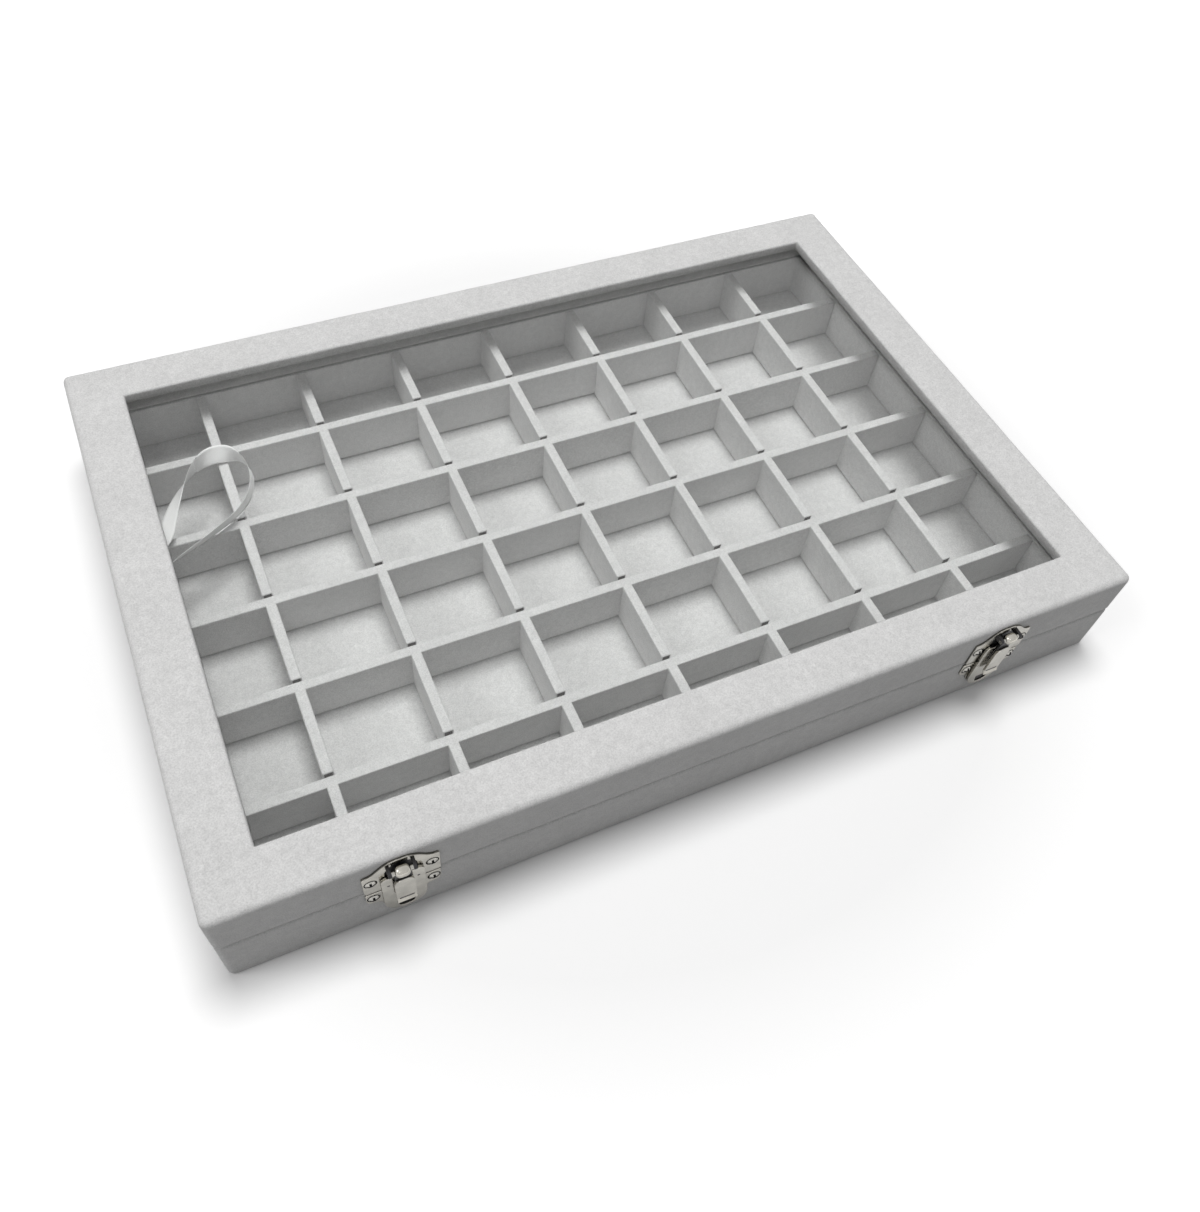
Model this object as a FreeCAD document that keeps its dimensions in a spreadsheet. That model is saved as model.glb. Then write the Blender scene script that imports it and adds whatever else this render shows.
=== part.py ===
import FreeCAD, Part
import Sketcher
import math
import os

# Velvet display case with a hinged glass lid, two snap latches and a tray of 48 compartments.
# Frame: millimetres, +X along the long front, +Y towards the hinges, +Z up.
# The origin is the centre of the face that the case rests on.

SIZES = {
    # case: overall box, wall build-up and the split between base and lid
    "case_width": 350.0,
    "case_depth": 240.0,
    "case_height": 45.0,
    "rim_height": 24.5,
    "lid_gap": 0.4,
    "fabric": 1.0,
    "board": 5.0,
    "lining": 1.6,
    "lining_drop": 0.5,
    "lining_seam": 0.5,
    "corner_radius": 2.6,
    "edge_radius": 1.8,
    "foot_radius": 0.8,
    # bottom of the tray
    "cover": 0.5,
    "cover_inset": 3.0,
    "bottom_board": 2.5,
    "floor_sheet": 1.0,
    # dividers
    "divider": 3.9,
    "divider_drop": 0.5,
    "end_fit": 0.2,
    "slot_fit": 0.15,
    "slot_slack": 0.9,
    "lap_fit": 0.2,
    # window of the lid
    "frame_side": 20.4,
    "frame_front": 18.9,
    "window_board": 3.0,
    "glass": 2.0,
    "glass_fit": 0.5,
    # hinges on the back
    "hinge_spacing": 200.0,
    "leaf_width": 28.0,
    "leaf_height": 11.0,
    "leaf": 0.9,
    "knuckle_radius": 1.9,
    "knuckle_gap": 0.3,
    "knuckle_play": 0.2,
    "end_knuckle": 8.0,
    "hinge_pin_radius": 0.9,
    "leaf_screw_spacing": 18.0,
    "leaf_screw_drop": 6.8,
    # latches on the front: lid plate with its yoke, lever, and keeper with its nose and catch slot
    "latch_inset": 59.0,
    "plate": 0.8,
    "plate_width": 25.0,
    "plate_height": 17.8,
    "plate_lift": 0.3,
    "latch_screw_spacing": 20.0,
    "plate_screw_lift": 7.4,
    "pin_lift": 14.5,
    "latch_pin_radius": 0.8,
    "barrel_radius": 2.0,
    "barrel_width": 6.6,
    "barrel_gap": 0.3,
    "barrel_play": 0.15,
    "lug": 1.2,
    "lug_radius": 1.6,
    "lever_width": 6.6,
    "lever_length": 21.9,
    "tongue": 1.0,
    "tongue_standoff": 2.7,
    "nib_drop": 19.7,
    "nib_height": 1.6,
    "nib_reach": 0.4,
    "lip_height": 1.9,
    "lip_flare": 0.9,
    "keeper_drop": 0.4,
    "keeper_height": 16.4,
    "keeper_screw_drop": 3.4,
    "nose": 0.9,
    "nose_gap": 0.3,
    "nose_rise": 10.2,
    "nose_corner": 2.0,
    "catch_width": 7.6,
    "catch_height": 2.6,
    "catch_depth": 0.7,
    "catch_drop": 2.8,
    # screws and fits
    "screw_head_radius": 1.9,
    "screw_head": 0.9,
    "screw_radius": 0.9,
    "screw_length": 4.5,
    "recess_length": 2.8,
    "recess_width": 0.8,
    "recess_depth": 0.55,
    "seat_fit": 0.03,
    "run_fit": 0.05,
    # satin ribbon that stays the lid
    "ribbon_width": 7.0,
    "ribbon": 0.5,
    "ribbon_seat": 0.2,
    "ribbon_tail": 6.0,
    "ribbon_lift": 0.5,
    # depth by which a cut runs past the face it starts from
    "overrun": 2.0,
}

COLUMN_COUNT = 8
ROW_COUNT = 6
END_ROW_SHARE = 0.9

# Fabric drawn round an edge can be rounded only so far before the board below shows through.
CORNER_LIMIT_SHARE = 2.6
EDGE_LIMIT_SHARE = 1.8
FOOT_LIMIT_SHARE = 0.8

DERIVED = {
    # wall build-up, outside to inside
    "board_span_x": "sizes.case_width - 2 * sizes.fabric",
    "board_span_y": "sizes.case_depth - 2 * sizes.fabric",
    "cavity_x": "sizes.case_width - 2 * (sizes.fabric + sizes.board)",
    "cavity_y": "sizes.case_depth - 2 * (sizes.fabric + sizes.board)",
    "inner_x": "sizes.case_width - 2 * (sizes.fabric + sizes.board + sizes.lining)",
    "inner_y": "sizes.case_depth - 2 * (sizes.fabric + sizes.board + sizes.lining)",
    "wrap_corner": f"min(sizes.corner_radius; {CORNER_LIMIT_SHARE} * sizes.fabric)",
    "wrap_edge": f"min(sizes.edge_radius; {EDGE_LIMIT_SHARE} * sizes.fabric)",
    "wrap_foot": f"min(sizes.foot_radius; {FOOT_LIMIT_SHARE} * sizes.fabric)",
    # levels, bottom to top
    "wall_foot": "sizes.cover + sizes.bottom_board",
    "floor_top": "wall_foot + sizes.floor_sheet",
    "divider_top": "sizes.rim_height - sizes.divider_drop",
    "base_board_top": "sizes.rim_height - sizes.fabric",
    "base_lining_top": "sizes.rim_height - sizes.lining_drop",
    "lid_bottom": "sizes.rim_height + sizes.lid_gap",
    "lid_lining_foot": "lid_bottom + sizes.lining_drop",
    "lid_board_foot": "lid_bottom + sizes.fabric",
    "window_board_top": "sizes.case_height - sizes.fabric",
    "window_board_foot": "window_board_top - sizes.window_board",
    "glass_foot": "window_board_foot - sizes.glass",
    # compartments: equal columns; the first and last rows are a little shorter than the others
    "divider_height": "divider_top - floor_top",
    "column": f"(inner_x - {COLUMN_COUNT - 1} * sizes.divider) / {COLUMN_COUNT}",
    "row": f"(inner_y - {ROW_COUNT - 1} * sizes.divider) / ({ROW_COUNT - 2} + 2 * {END_ROW_SHARE})",
    "end_row": f"row * {END_ROW_SHARE}",
    "column_pitch": "column + sizes.divider",
    "row_pitch": "row + sizes.divider",
    "lap_depth": "divider_height / 2 + sizes.lap_fit",
    # window
    "window_x": "sizes.case_width - 2 * sizes.frame_side",
    "window_y": "sizes.case_depth - 2 * sizes.frame_front",
    # hinge line on the back
    "back_y": "sizes.case_depth / 2",
    "hinge_x": "sizes.hinge_spacing / 2",
    "hinge_y": "back_y + sizes.knuckle_gap + sizes.knuckle_radius",
    "hinge_z": "sizes.rim_height + sizes.lid_gap / 2",
    "leaf_relief": "sizes.knuckle_radius + sizes.knuckle_gap",
    "middle_knuckle": "sizes.leaf_width - 2 * (sizes.end_knuckle + sizes.knuckle_play)",
    # latch line on the front; reach is measured outwards from the front face
    "front_y": "-sizes.case_depth / 2",
    "latch_x": "sizes.case_width / 2 - sizes.latch_inset",
    "plate_foot": "lid_bottom + sizes.plate_lift",
    "keeper_top": "sizes.rim_height - sizes.keeper_drop",
    "pin_reach": "sizes.plate + sizes.barrel_gap + sizes.barrel_radius",
    "yoke_gap": "sizes.barrel_width + 2 * sizes.barrel_play",
    "yoke_width": "yoke_gap + 2 * sizes.lug",
    "screw_hole": "sizes.screw_radius + sizes.seat_fit",
    "screw_hole_depth": "sizes.screw_length + sizes.seat_fit",
}

SIDES = {"left": -1, "right": 1}

# Outlines of the latch plates: shares of half the plate's width and of its height.
ARCH_HALF_SHARE = 0.6
WING_TIP_SHARE = 0.69
WING_SAG_SHARE = 0.70
WING_ROOT_SHARE = 0.78
KEEPER_EAR_SHARE = 0.43
KEEPER_ROOT_SHARE = 0.50
KEEPER_BEND_SHARE = 0.60
KEEPER_WAIST_SHARE = 0.568

# Route of the ribbon's loop in plan, from its end on the base to its end on the lid.
RIBBON_BASE_END = 22.0
RIBBON_ROUTE = [
    (-154.0, 25.0),
    (-137.5, 31.0),
    (-121.0, 43.5),
    (-116.6, 58.0),
    (-119.6, 71.5),
    (-127.6, 77.0),
    (-137.0, 70.5),
    (-147.0, 53.0),
    (-155.0, 37.5),
]
RIBBON_LID_END = 33.5
BEND_SHARE = 0.45

OUT_FRONT = FreeCAD.Vector(0, -1, 0)
OUT_BACK = FreeCAD.Vector(0, 1, 0)
ALONG_X = FreeCAD.Vector(1, 0, 0)
UP = FreeCAD.Vector(0, 0, 1)

doc = FreeCAD.newDocument("jewelry_organizer_box")
sizes = doc.addObject("Spreadsheet::Sheet", "sizes")
derived = doc.addObject("Spreadsheet::Sheet", "derived")
nodes = []


def fill_sheet(sheet, values, prefix=""):
    """Write values down a sheet, each beside its name, which is also its alias."""
    for line, (alias, value) in enumerate(values.items(), start=1):
        sheet.set(f"A{line}", alias)
        sheet.setAlias(f"B{line}", alias)
        sheet.set(f"B{line}", f"{prefix}{value}")
    doc.recompute()


def size(alias):
    """Return a driving or derived size as a plain number."""
    sheet = sizes if alias in SIZES else derived
    return float(sheet.get(alias))


def keep(piece):
    """List a finished sub-part for writing."""
    nodes.append(piece)
    return piece


def place(piece, x="0", y="0", z="0"):
    """Bind a piece's position to expressions."""
    for axis, expression in zip("xyz", (x, y, z)):
        piece.setExpression(f"Placement.Base.{axis}", expression)


def add(kind, label):
    """Add an object whose label is its name."""
    piece = doc.addObject(kind, label)
    piece.Label = label
    return piece


def box(label, corner, extent):
    """Add a block by its low corner and its extent, both given as expressions."""
    block = add("Part::Box", label)
    for name, expression in zip(("Length", "Width", "Height"), extent):
        block.setExpression(name, expression)
    place(block, *corner)
    return block


def slab(label, length, width, foot, top):
    """Add a block centred on the case between two levels."""
    corner = (f"-({length}) / 2", f"-({width}) / 2", foot)
    return box(label, corner, (length, width, f"{top} - ({foot})"))


def rod(label, axis, start, radius, length):
    """Add a cylinder that runs from start along axis."""
    cylinder = add("Part::Cylinder", label)
    cylinder.setExpression("Radius", radius)
    cylinder.setExpression("Height", length)
    cylinder.Placement.Rotation = FreeCAD.Rotation(UP, axis)
    place(cylinder, *start)
    return cylinder


def fuse(label, pieces):
    """Join pieces into one."""
    joined = add("Part::MultiFuse", label)
    joined.Shapes = pieces
    return joined


def cut(label, base, tools):
    """Take tools away from base."""
    result = add("Part::Cut", label)
    result.Base = base
    result.Tool = tools[0] if len(tools) == 1 else fuse(f"{label}_tools", tools)
    return result


def rounded_block(label, foot, top, soft_level, soft_radius):
    """Add a block of the case's plan with round corners and a round edge at one level."""
    block = slab(f"{label}_block", "sizes.case_width", "sizes.case_depth", foot, top)
    doc.recompute()
    fillet = add("Part::Fillet", f"{label}_round")
    fillet.Base = block
    edges = []
    for number, edge in enumerate(block.Shape.Edges, start=1):
        bounds = edge.BoundBox
        if bounds.ZLength > bounds.XLength + bounds.YLength:
            edges.append((number, size("wrap_corner"), size("wrap_corner")))
        elif math.isclose(bounds.Center.z, soft_level, abs_tol=size("overrun") / 2):
            edges.append((number, soft_radius, soft_radius))
    fillet.Edges = edges
    return fillet


def new_sketch(body, name, role, offset="0"):
    """Add a sketch on one of the body's own origin planes, moved along its normal."""
    sketch = body.newObject("Sketcher::SketchObject", f"{body.Label}_{name}")
    origin_plane = next(item for item in body.Origin.OriginFeatures if item.Role == role)
    sketch.AttachmentSupport = [(origin_plane, "")]
    sketch.MapMode = "FlatFace"
    sketch.setExpression("AttachmentOffset.Base.z", offset)
    return sketch


def draw_rectangle(sketch, low, extent):
    """Draw a rectangle whose low corner and extent are bound to expressions."""
    corners = [FreeCAD.Vector(x, y) for x, y in ((0, 0), (1, 0), (1, 1), (0, 1))]
    for start, end in zip(corners, corners[1:] + corners[:1]):
        sketch.addGeometry(Part.LineSegment(start, end))
    for line in range(len(corners)):
        following = (line + 1) % len(corners)
        sketch.addConstraint(Sketcher.Constraint("Coincident", line, 2, following, 1))
        sketch.addConstraint(Sketcher.Constraint("Vertical" if line % 2 else "Horizontal", line))
    bindings = [
        ("DistanceX", (-1, 1, 0, 1), low[0]),
        ("DistanceY", (-1, 1, 0, 1), low[1]),
        ("DistanceX", (0, 1, 0, 2), extent[0]),
        ("DistanceY", (1, 1, 1, 2), extent[1]),
    ]
    for kind, ends, expression in bindings:
        index = sketch.addConstraint(Sketcher.Constraint(kind, *ends, 1.0))
        sketch.setExpression(f"Constraints[{index}]", expression)


def draw_outline(sketch, edges):
    """Draw an outline: an edge of two points is a line, one of three an arc through them."""
    for points in edges:
        vectors = [FreeCAD.Vector(*point) for point in points]
        sketch.addGeometry(Part.LineSegment(*vectors) if len(vectors) == 2 else Part.Arc(*vectors))


def draw_polygon(sketch, points):
    """Draw a closed outline of straight lines."""
    draw_outline(sketch, list(zip(points, points[1:] + points[:1])))


def draw_circle(sketch, centre, radius):
    """Draw a circle whose radius is bound to an expression."""
    circle = Part.Circle(FreeCAD.Vector(*centre), UP, 1.0)
    index = sketch.addConstraint(Sketcher.Constraint("Radius", sketch.addGeometry(circle), 1.0))
    sketch.setExpression(f"Constraints[{index}]", radius)


def pad(body, sketch, length, both_ways=False):
    """Raise a sketch by a length."""
    feature = body.newObject("PartDesign::Pad", f"{sketch.Label}_pad")
    feature.Profile = sketch
    feature.setExpression("Length", length)
    feature.Midplane = both_ways
    return feature


def pocket(body, sketch, length, outwards=False, both_ways=False):
    """Cut a sketch by a length, into the body unless outwards."""
    feature = body.newObject("PartDesign::Pocket", f"{sketch.Label}_pocket")
    feature.Profile = sketch
    feature.setExpression("Length", length)
    feature.Reversed = outwards
    feature.Midplane = both_ways
    return feature


def four_walls(name, foot, top, holes):
    """Build the front, back, left and right boards of the base or the lid.

    holes lists the screw holes that go into the front and the back board.
    """
    height = f"{top} - {foot}"
    long_extent = ("derived.board_span_x", "sizes.board", height)
    short_extent = ("sizes.board", "derived.board_span_y - 2 * sizes.board", height)
    outer_x = "derived.board_span_x / 2"
    outer_y = "derived.board_span_y / 2"
    inner_y = f"-({outer_y}) + sizes.board"
    long_corners = {
        "front": (f"-{outer_x}", f"-{outer_y}", foot),
        "back": (f"-{outer_x}", f"{outer_y} - sizes.board", foot),
    }
    short_corners = {
        "left": (f"-{outer_x}", inner_y, foot),
        "right": (f"{outer_x} - sizes.board", inner_y, foot),
    }
    for side, corner in long_corners.items():
        plain = box(f"{name}_{side}_board_plain", corner, long_extent)
        keep(cut(f"{name}_{side}_board", plain, holes[side]))
    for side, corner in short_corners.items():
        keep(box(f"{name}_{side}_board", corner, short_extent))


def lining_ring(label, foot, top):
    """Build a lining strip folded round the inside of the walls, its ends apart at a seam."""
    ring = slab(f"{label}_outer", "derived.cavity_x", "derived.cavity_y", foot, top)
    through_foot = f"{foot} - sizes.overrun"
    through_top = f"{top} + sizes.overrun"
    space = slab(f"{label}_space", "derived.inner_x", "derived.inner_y", through_foot, through_top)
    seam_x = "derived.inner_x / 2 - sizes.lining_seam"
    seam_y = "derived.inner_y / 2 - sizes.overrun"
    seam_depth = "sizes.lining + 2 * sizes.overrun"
    seam_extent = ("sizes.lining_seam", seam_depth, f"{through_top} - ({through_foot})")
    seam = box(f"{label}_seam", (seam_x, seam_y, through_foot), seam_extent)
    keep(cut(label, ring, [space, seam]))


def divider(label, role, length, slot_start, slot_width, slot_foot, pitch, slot_count):
    """Build one slotted divider and return its body, its low end at the body's origin."""
    body = add("PartDesign::Body", label)
    blank = new_sketch(body, "blank", role)
    draw_rectangle(blank, ("0", "0"), (length, "derived.divider_height"))
    pad(body, blank, "sizes.divider")
    slot = new_sketch(body, "slot", role)
    draw_rectangle(slot, (slot_start, slot_foot), (slot_width, "derived.lap_depth + sizes.overrun"))
    first = pocket(body, slot, "2 * (sizes.divider + sizes.overrun)", both_ways=True)
    doc.recompute()
    slots = body.newObject("PartDesign::LinearPattern", f"{label}_slots")
    slots.Originals = [first]
    slots.Direction = (slot, ["H_Axis"])
    slots.Occurrences = slot_count
    slots.setExpression("Length", f"{slot_count - 1} * {pitch}")
    body.Tip = slots
    return keep(body)


def build_dividers():
    """Build the long dividers, open from below, and the cross dividers, open from above."""
    for row in range(1, ROW_COUNT):
        body = divider(
            f"long_divider_{row}", "XZ_Plane",
            length="derived.inner_x - 2 * sizes.end_fit",
            slot_start="derived.column - sizes.end_fit - sizes.slot_fit",
            slot_width="sizes.divider + 2 * sizes.slot_fit",
            slot_foot="-sizes.overrun",
            pitch="derived.column_pitch",
            slot_count=COLUMN_COUNT - 1,
        )
        place(
            body,
            "-derived.inner_x / 2 + sizes.end_fit",
            f"-derived.inner_y / 2 + derived.end_row + sizes.divider + {row - 1} * derived.row_pitch",
            "derived.floor_top",
        )
    for column in range(1, COLUMN_COUNT):
        body = divider(
            f"cross_divider_{column}", "YZ_Plane",
            length="derived.inner_y - 2 * sizes.end_fit",
            slot_start="derived.end_row - sizes.end_fit - sizes.slot_fit",
            slot_width="sizes.divider + sizes.slot_fit + sizes.slot_slack",
            slot_foot="derived.divider_height - derived.lap_depth",
            pitch="derived.row_pitch",
            slot_count=ROW_COUNT - 1,
        )
        place(
            body,
            f"-derived.inner_x / 2 + derived.column + {column - 1} * derived.column_pitch",
            "-derived.inner_y / 2 + sizes.end_fit",
            "derived.floor_top",
        )


def build_base(holes):
    """Build the tray: cover, bottom, walls, velvet, lining and floor."""
    inset_x = "derived.board_span_x - 2 * sizes.cover_inset"
    inset_y = "derived.board_span_y - 2 * sizes.cover_inset"
    keep(slab("base_underside_cover", inset_x, inset_y, "0", "sizes.cover"))
    keep(slab(
        "base_bottom_board", "derived.board_span_x", "derived.board_span_y",
        "sizes.cover", "derived.wall_foot",
    ))
    four_walls("base", "derived.wall_foot", "derived.base_board_top", holes)
    outside = rounded_block("base_velvet_wrap", "0", "sizes.rim_height", 0, size("wrap_foot"))
    boards = slab(
        "base_wrap_boards", "derived.board_span_x", "derived.board_span_y",
        "-sizes.overrun", "derived.base_board_top",
    )
    mouth = slab(
        "base_wrap_mouth", "derived.cavity_x", "derived.cavity_y",
        "derived.base_board_top - sizes.overrun", "sizes.rim_height + sizes.overrun",
    )
    keep(cut("base_velvet_wrap", outside, [boards, mouth, *holes["front"], *holes["back"]]))
    lining_ring("base_wall_lining", "derived.floor_top", "derived.base_lining_top")
    sheet_x = "derived.cavity_x - 2 * sizes.end_fit"
    sheet_y = "derived.cavity_y - 2 * sizes.end_fit"
    keep(slab("base_floor_sheet", sheet_x, sheet_y, "derived.wall_foot", "derived.floor_top"))


def build_lid(holes):
    """Build the lid: walls, window frame, velvet, glass and the lining that carries the glass."""
    four_walls("lid", "derived.lid_board_foot", "derived.window_board_foot", holes)
    frame_blank = slab(
        "window_frame_blank", "derived.board_span_x", "derived.board_span_y",
        "derived.window_board_foot", "derived.window_board_top",
    )
    frame_hole = slab(
        "window_frame_hole", "derived.window_x + 2 * sizes.fabric", "derived.window_y + 2 * sizes.fabric",
        "derived.window_board_foot - sizes.overrun", "derived.window_board_top + sizes.overrun",
    )
    frame_board = keep(cut("window_frame_board", frame_blank, [frame_hole]))
    outside = rounded_block(
        "lid_velvet_wrap", "derived.lid_bottom", "sizes.case_height", size("case_height"), size("wrap_edge")
    )
    mouth = slab(
        "lid_wrap_mouth", "derived.cavity_x", "derived.cavity_y",
        "derived.lid_bottom - sizes.overrun", "derived.window_board_foot",
    )
    boards = slab(
        "lid_wrap_boards", "derived.board_span_x", "derived.board_span_y",
        "derived.lid_board_foot", "derived.window_board_foot",
    )
    window = slab(
        "lid_wrap_window", "derived.window_x", "derived.window_y",
        "derived.window_board_foot - sizes.overrun", "sizes.case_height + sizes.overrun",
    )
    tools = [mouth, boards, frame_board, window, *holes["front"], *holes["back"]]
    keep(cut("lid_velvet_wrap", outside, tools))
    glass_x = "derived.cavity_x - 2 * sizes.glass_fit"
    glass_y = "derived.cavity_y - 2 * sizes.glass_fit"
    keep(slab("glass_pane", glass_x, glass_y, "derived.glass_foot", "derived.window_board_foot"))
    lining_ring("lid_wall_lining", "derived.lid_lining_foot", "derived.glass_foot")


def screw(label, outward):
    """Build one cross-recess screw whose head seats on its body's origin and faces outward."""
    body = add("PartDesign::Body", label)
    profile = new_sketch(body, "profile", "XZ_Plane")
    head_radius = size("screw_head_radius")
    shank_radius = size("screw_radius")
    head = size("screw_head")
    cap_radius = (head_radius**2 + head**2) / (2 * head)
    half_turn = math.asin(head_radius / cap_radius) / 2
    dome = (cap_radius * math.sin(half_turn), head - cap_radius * (1 - math.cos(half_turn)))
    tip = (0, -size("screw_length"))
    shank = (shank_radius, -size("screw_length") + shank_radius)
    top = (0, head)
    draw_outline(profile, [
        (top, tip),
        (tip, shank),
        (shank, (shank_radius, 0)),
        ((shank_radius, 0), (head_radius, 0)),
        ((head_radius, 0), dome, top),
    ])
    turned = body.newObject("PartDesign::Revolution", f"{label}_turned")
    turned.Profile = profile
    turned.ReferenceAxis = (profile, ["V_Axis"])
    turned.Angle = 360
    recess = new_sketch(body, "recess", "XY_Plane", "sizes.screw_head")
    arm = size("recess_length") / 2
    half = size("recess_width") / 2
    draw_polygon(recess, [
        (arm, -half), (arm, half), (half, half), (half, arm), (-half, arm), (-half, half),
        (-arm, half), (-arm, -half), (-half, -half), (-half, -arm), (half, -arm), (half, -half),
    ])
    pocket(body, recess, "sizes.recess_depth")
    body.Placement.Rotation = FreeCAD.Rotation(UP, outward)
    return keep(body)


def screw_group(name, outward, centre, spacing, seat, level):
    """Build one kind of screw on both sides of the case and return the holes they sit in."""
    holes = {}
    for side, sign in SIDES.items():
        holes[side] = []
        for number, half in enumerate((-1, 1), start=1):
            start = (f"{sign} * {centre} + {half} * {spacing} / 2", seat, level)
            label = f"{name}_screw_{side}_{number}"
            place(screw(label, outward), *start)
            hole = rod(f"{label}_hole", -outward, start, "derived.screw_hole", "derived.screw_hole_depth")
            holes[side].append(hole)
    return holes


def hinge_leaf(label, sign, direction, knuckles, bore, holes):
    """Build one hinge leaf with its knuckles; direction is 1 on the lid and -1 on the base."""
    left_x = f"{sign} * derived.hinge_x - sizes.leaf_width / 2"
    if direction > 0:
        web_foot = "derived.hinge_z"
        plate_foot = "derived.hinge_z + derived.leaf_relief"
    else:
        web_foot = "derived.hinge_z - derived.leaf_relief"
        plate_foot = "derived.hinge_z - sizes.leaf_height"
    plate_extent = ("sizes.leaf_width", "sizes.leaf", "sizes.leaf_height - derived.leaf_relief")
    pieces = [box(f"{label}_plate", (left_x, "derived.back_y", plate_foot), plate_extent)]
    for number, (offset, length) in enumerate(knuckles, start=1):
        knuckle_x = f"{left_x} + {offset}"
        web_corner = (knuckle_x, "derived.back_y", web_foot)
        web_extent = (length, "sizes.leaf", "derived.leaf_relief")
        start = (knuckle_x, "derived.hinge_y", "derived.hinge_z")
        pieces.append(box(f"{label}_web_{number}", web_corner, web_extent))
        pieces.append(rod(f"{label}_barrel_{number}", ALONG_X, start, "sizes.knuckle_radius", length))
    bore_start = (f"{left_x} - sizes.overrun", "derived.hinge_y", "derived.hinge_z")
    bore_length = "sizes.leaf_width + 2 * sizes.overrun"
    pin_hole = rod(f"{label}_bore", ALONG_X, bore_start, bore, bore_length)
    keep(cut(label, fuse(f"{label}_blank", pieces), [pin_hole, *holes]))


def build_hinges(upper_holes, lower_holes):
    """Build both butt hinges: the base leaf has the end knuckles, the lid leaf the middle one."""
    ends = [
        ("0", "sizes.end_knuckle"),
        ("sizes.leaf_width - sizes.end_knuckle", "sizes.end_knuckle"),
    ]
    middle = [("sizes.end_knuckle + sizes.knuckle_play", "derived.middle_knuckle")]
    fixed_bore = "sizes.hinge_pin_radius + sizes.seat_fit"
    running_bore = "sizes.hinge_pin_radius + sizes.run_fit"
    for side, sign in SIDES.items():
        hinge_leaf(f"hinge_lower_leaf_{side}", sign, -1, ends, fixed_bore, lower_holes[side])
        hinge_leaf(f"hinge_upper_leaf_{side}", sign, 1, middle, running_bore, upper_holes[side])
        start = (f"{sign} * derived.hinge_x - sizes.leaf_width / 2", "derived.hinge_y", "derived.hinge_z")
        keep(rod(f"hinge_pin_{side}", ALONG_X, start, "sizes.hinge_pin_radius", "sizes.leaf_width"))


def screw_circles(sketch, level):
    """Draw the two screw holes of a latch plate at a level."""
    for half in (-1, 1):
        draw_circle(sketch, (half * size("latch_screw_spacing") / 2, level), "derived.screw_hole")


def bore_yoke(body, radius, length):
    """Cut the latch pin's hole across a body."""
    sketch = new_sketch(body, "bore", "YZ_Plane")
    draw_circle(sketch, (-size("pin_reach"), size("pin_lift")), radius)
    pocket(body, sketch, f"{length} + 2 * sizes.overrun", both_ways=True)


def latch_plate(side):
    """Build the lid's latch plate: winged sheet with an arched top, and a yoke for the pin."""
    body = add("PartDesign::Body", f"latch_plate_{side}")
    half = size("plate_width") / 2
    height = size("plate_height")
    arch = half * ARCH_HALF_SHARE
    tip = height * WING_TIP_SHARE
    root = height * WING_ROOT_SHARE
    sag = height * WING_SAG_SHARE
    middle = (half + arch) / 2
    outline = new_sketch(body, "outline", "XZ_Plane")
    draw_outline(outline, [
        ((-half, 0), (half, 0)),
        ((half, 0), (half, tip)),
        ((half, tip), (middle, sag), (arch, root)),
        ((arch, root), (0, height), (-arch, root)),
        ((-arch, root), (-middle, sag), (-half, tip)),
        ((-half, tip), (-half, 0)),
    ])
    screw_circles(outline, size("plate_screw_lift"))
    pad(body, outline, "sizes.plate")
    reach = -size("pin_reach")
    lift = size("pin_lift")
    round_end = size("lug_radius")
    yoke = new_sketch(body, "yoke", "YZ_Plane")
    draw_outline(yoke, [
        ((0, lift - round_end), (reach, lift - round_end)),
        ((reach, lift - round_end), (reach - round_end, lift), (reach, lift + round_end)),
        ((reach, lift + round_end), (0, lift + round_end)),
        ((0, lift + round_end), (0, lift - round_end)),
    ])
    pad(body, yoke, "derived.yoke_width", both_ways=True)
    space = new_sketch(body, "space", "XZ_Plane", "sizes.plate")
    space_low = ("-derived.yoke_gap / 2", "sizes.pin_lift - sizes.lug_radius - sizes.overrun")
    draw_rectangle(space, space_low, ("derived.yoke_gap", "2 * (sizes.lug_radius + sizes.overrun)"))
    pocket(body, space, "derived.pin_reach + sizes.lug_radius + sizes.overrun", outwards=True)
    bore_yoke(body, "sizes.latch_pin_radius + sizes.seat_fit", "derived.yoke_width")
    return keep(body)


def latch_lever(side):
    """Build a lever: barrel on the pin, hanging tongue, inner nib and flared lip."""
    body = add("PartDesign::Body", f"latch_lever_{side}")
    lift = size("pin_lift")
    barrel = new_sketch(body, "barrel", "YZ_Plane")
    draw_circle(barrel, (-size("pin_reach"), lift), "sizes.barrel_radius")
    pad(body, barrel, "sizes.barrel_width", both_ways=True)
    inside = -size("tongue_standoff")
    outside = inside - size("tongue")
    flare = size("lip_flare")
    nib = inside + size("nib_reach")
    end = lift - size("lever_length")
    lip = end + size("lip_height")
    nib_top = lift - size("nib_drop") + size("nib_height") / 2
    nib_foot = nib_top - size("nib_height")
    tongue = new_sketch(body, "tongue", "YZ_Plane")
    draw_polygon(tongue, [
        (outside, lift),
        (inside, lift),
        (inside, nib_top),
        (nib, nib_top),
        (nib, nib_foot + size("nib_reach")),
        (inside, nib_foot),
        (inside - flare, end),
        (outside - flare, end),
        (outside, lip),
    ])
    pad(body, tongue, "sizes.lever_width", both_ways=True)
    bore_yoke(body, "sizes.latch_pin_radius + sizes.run_fit", "sizes.barrel_width")
    return keep(body)


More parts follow.
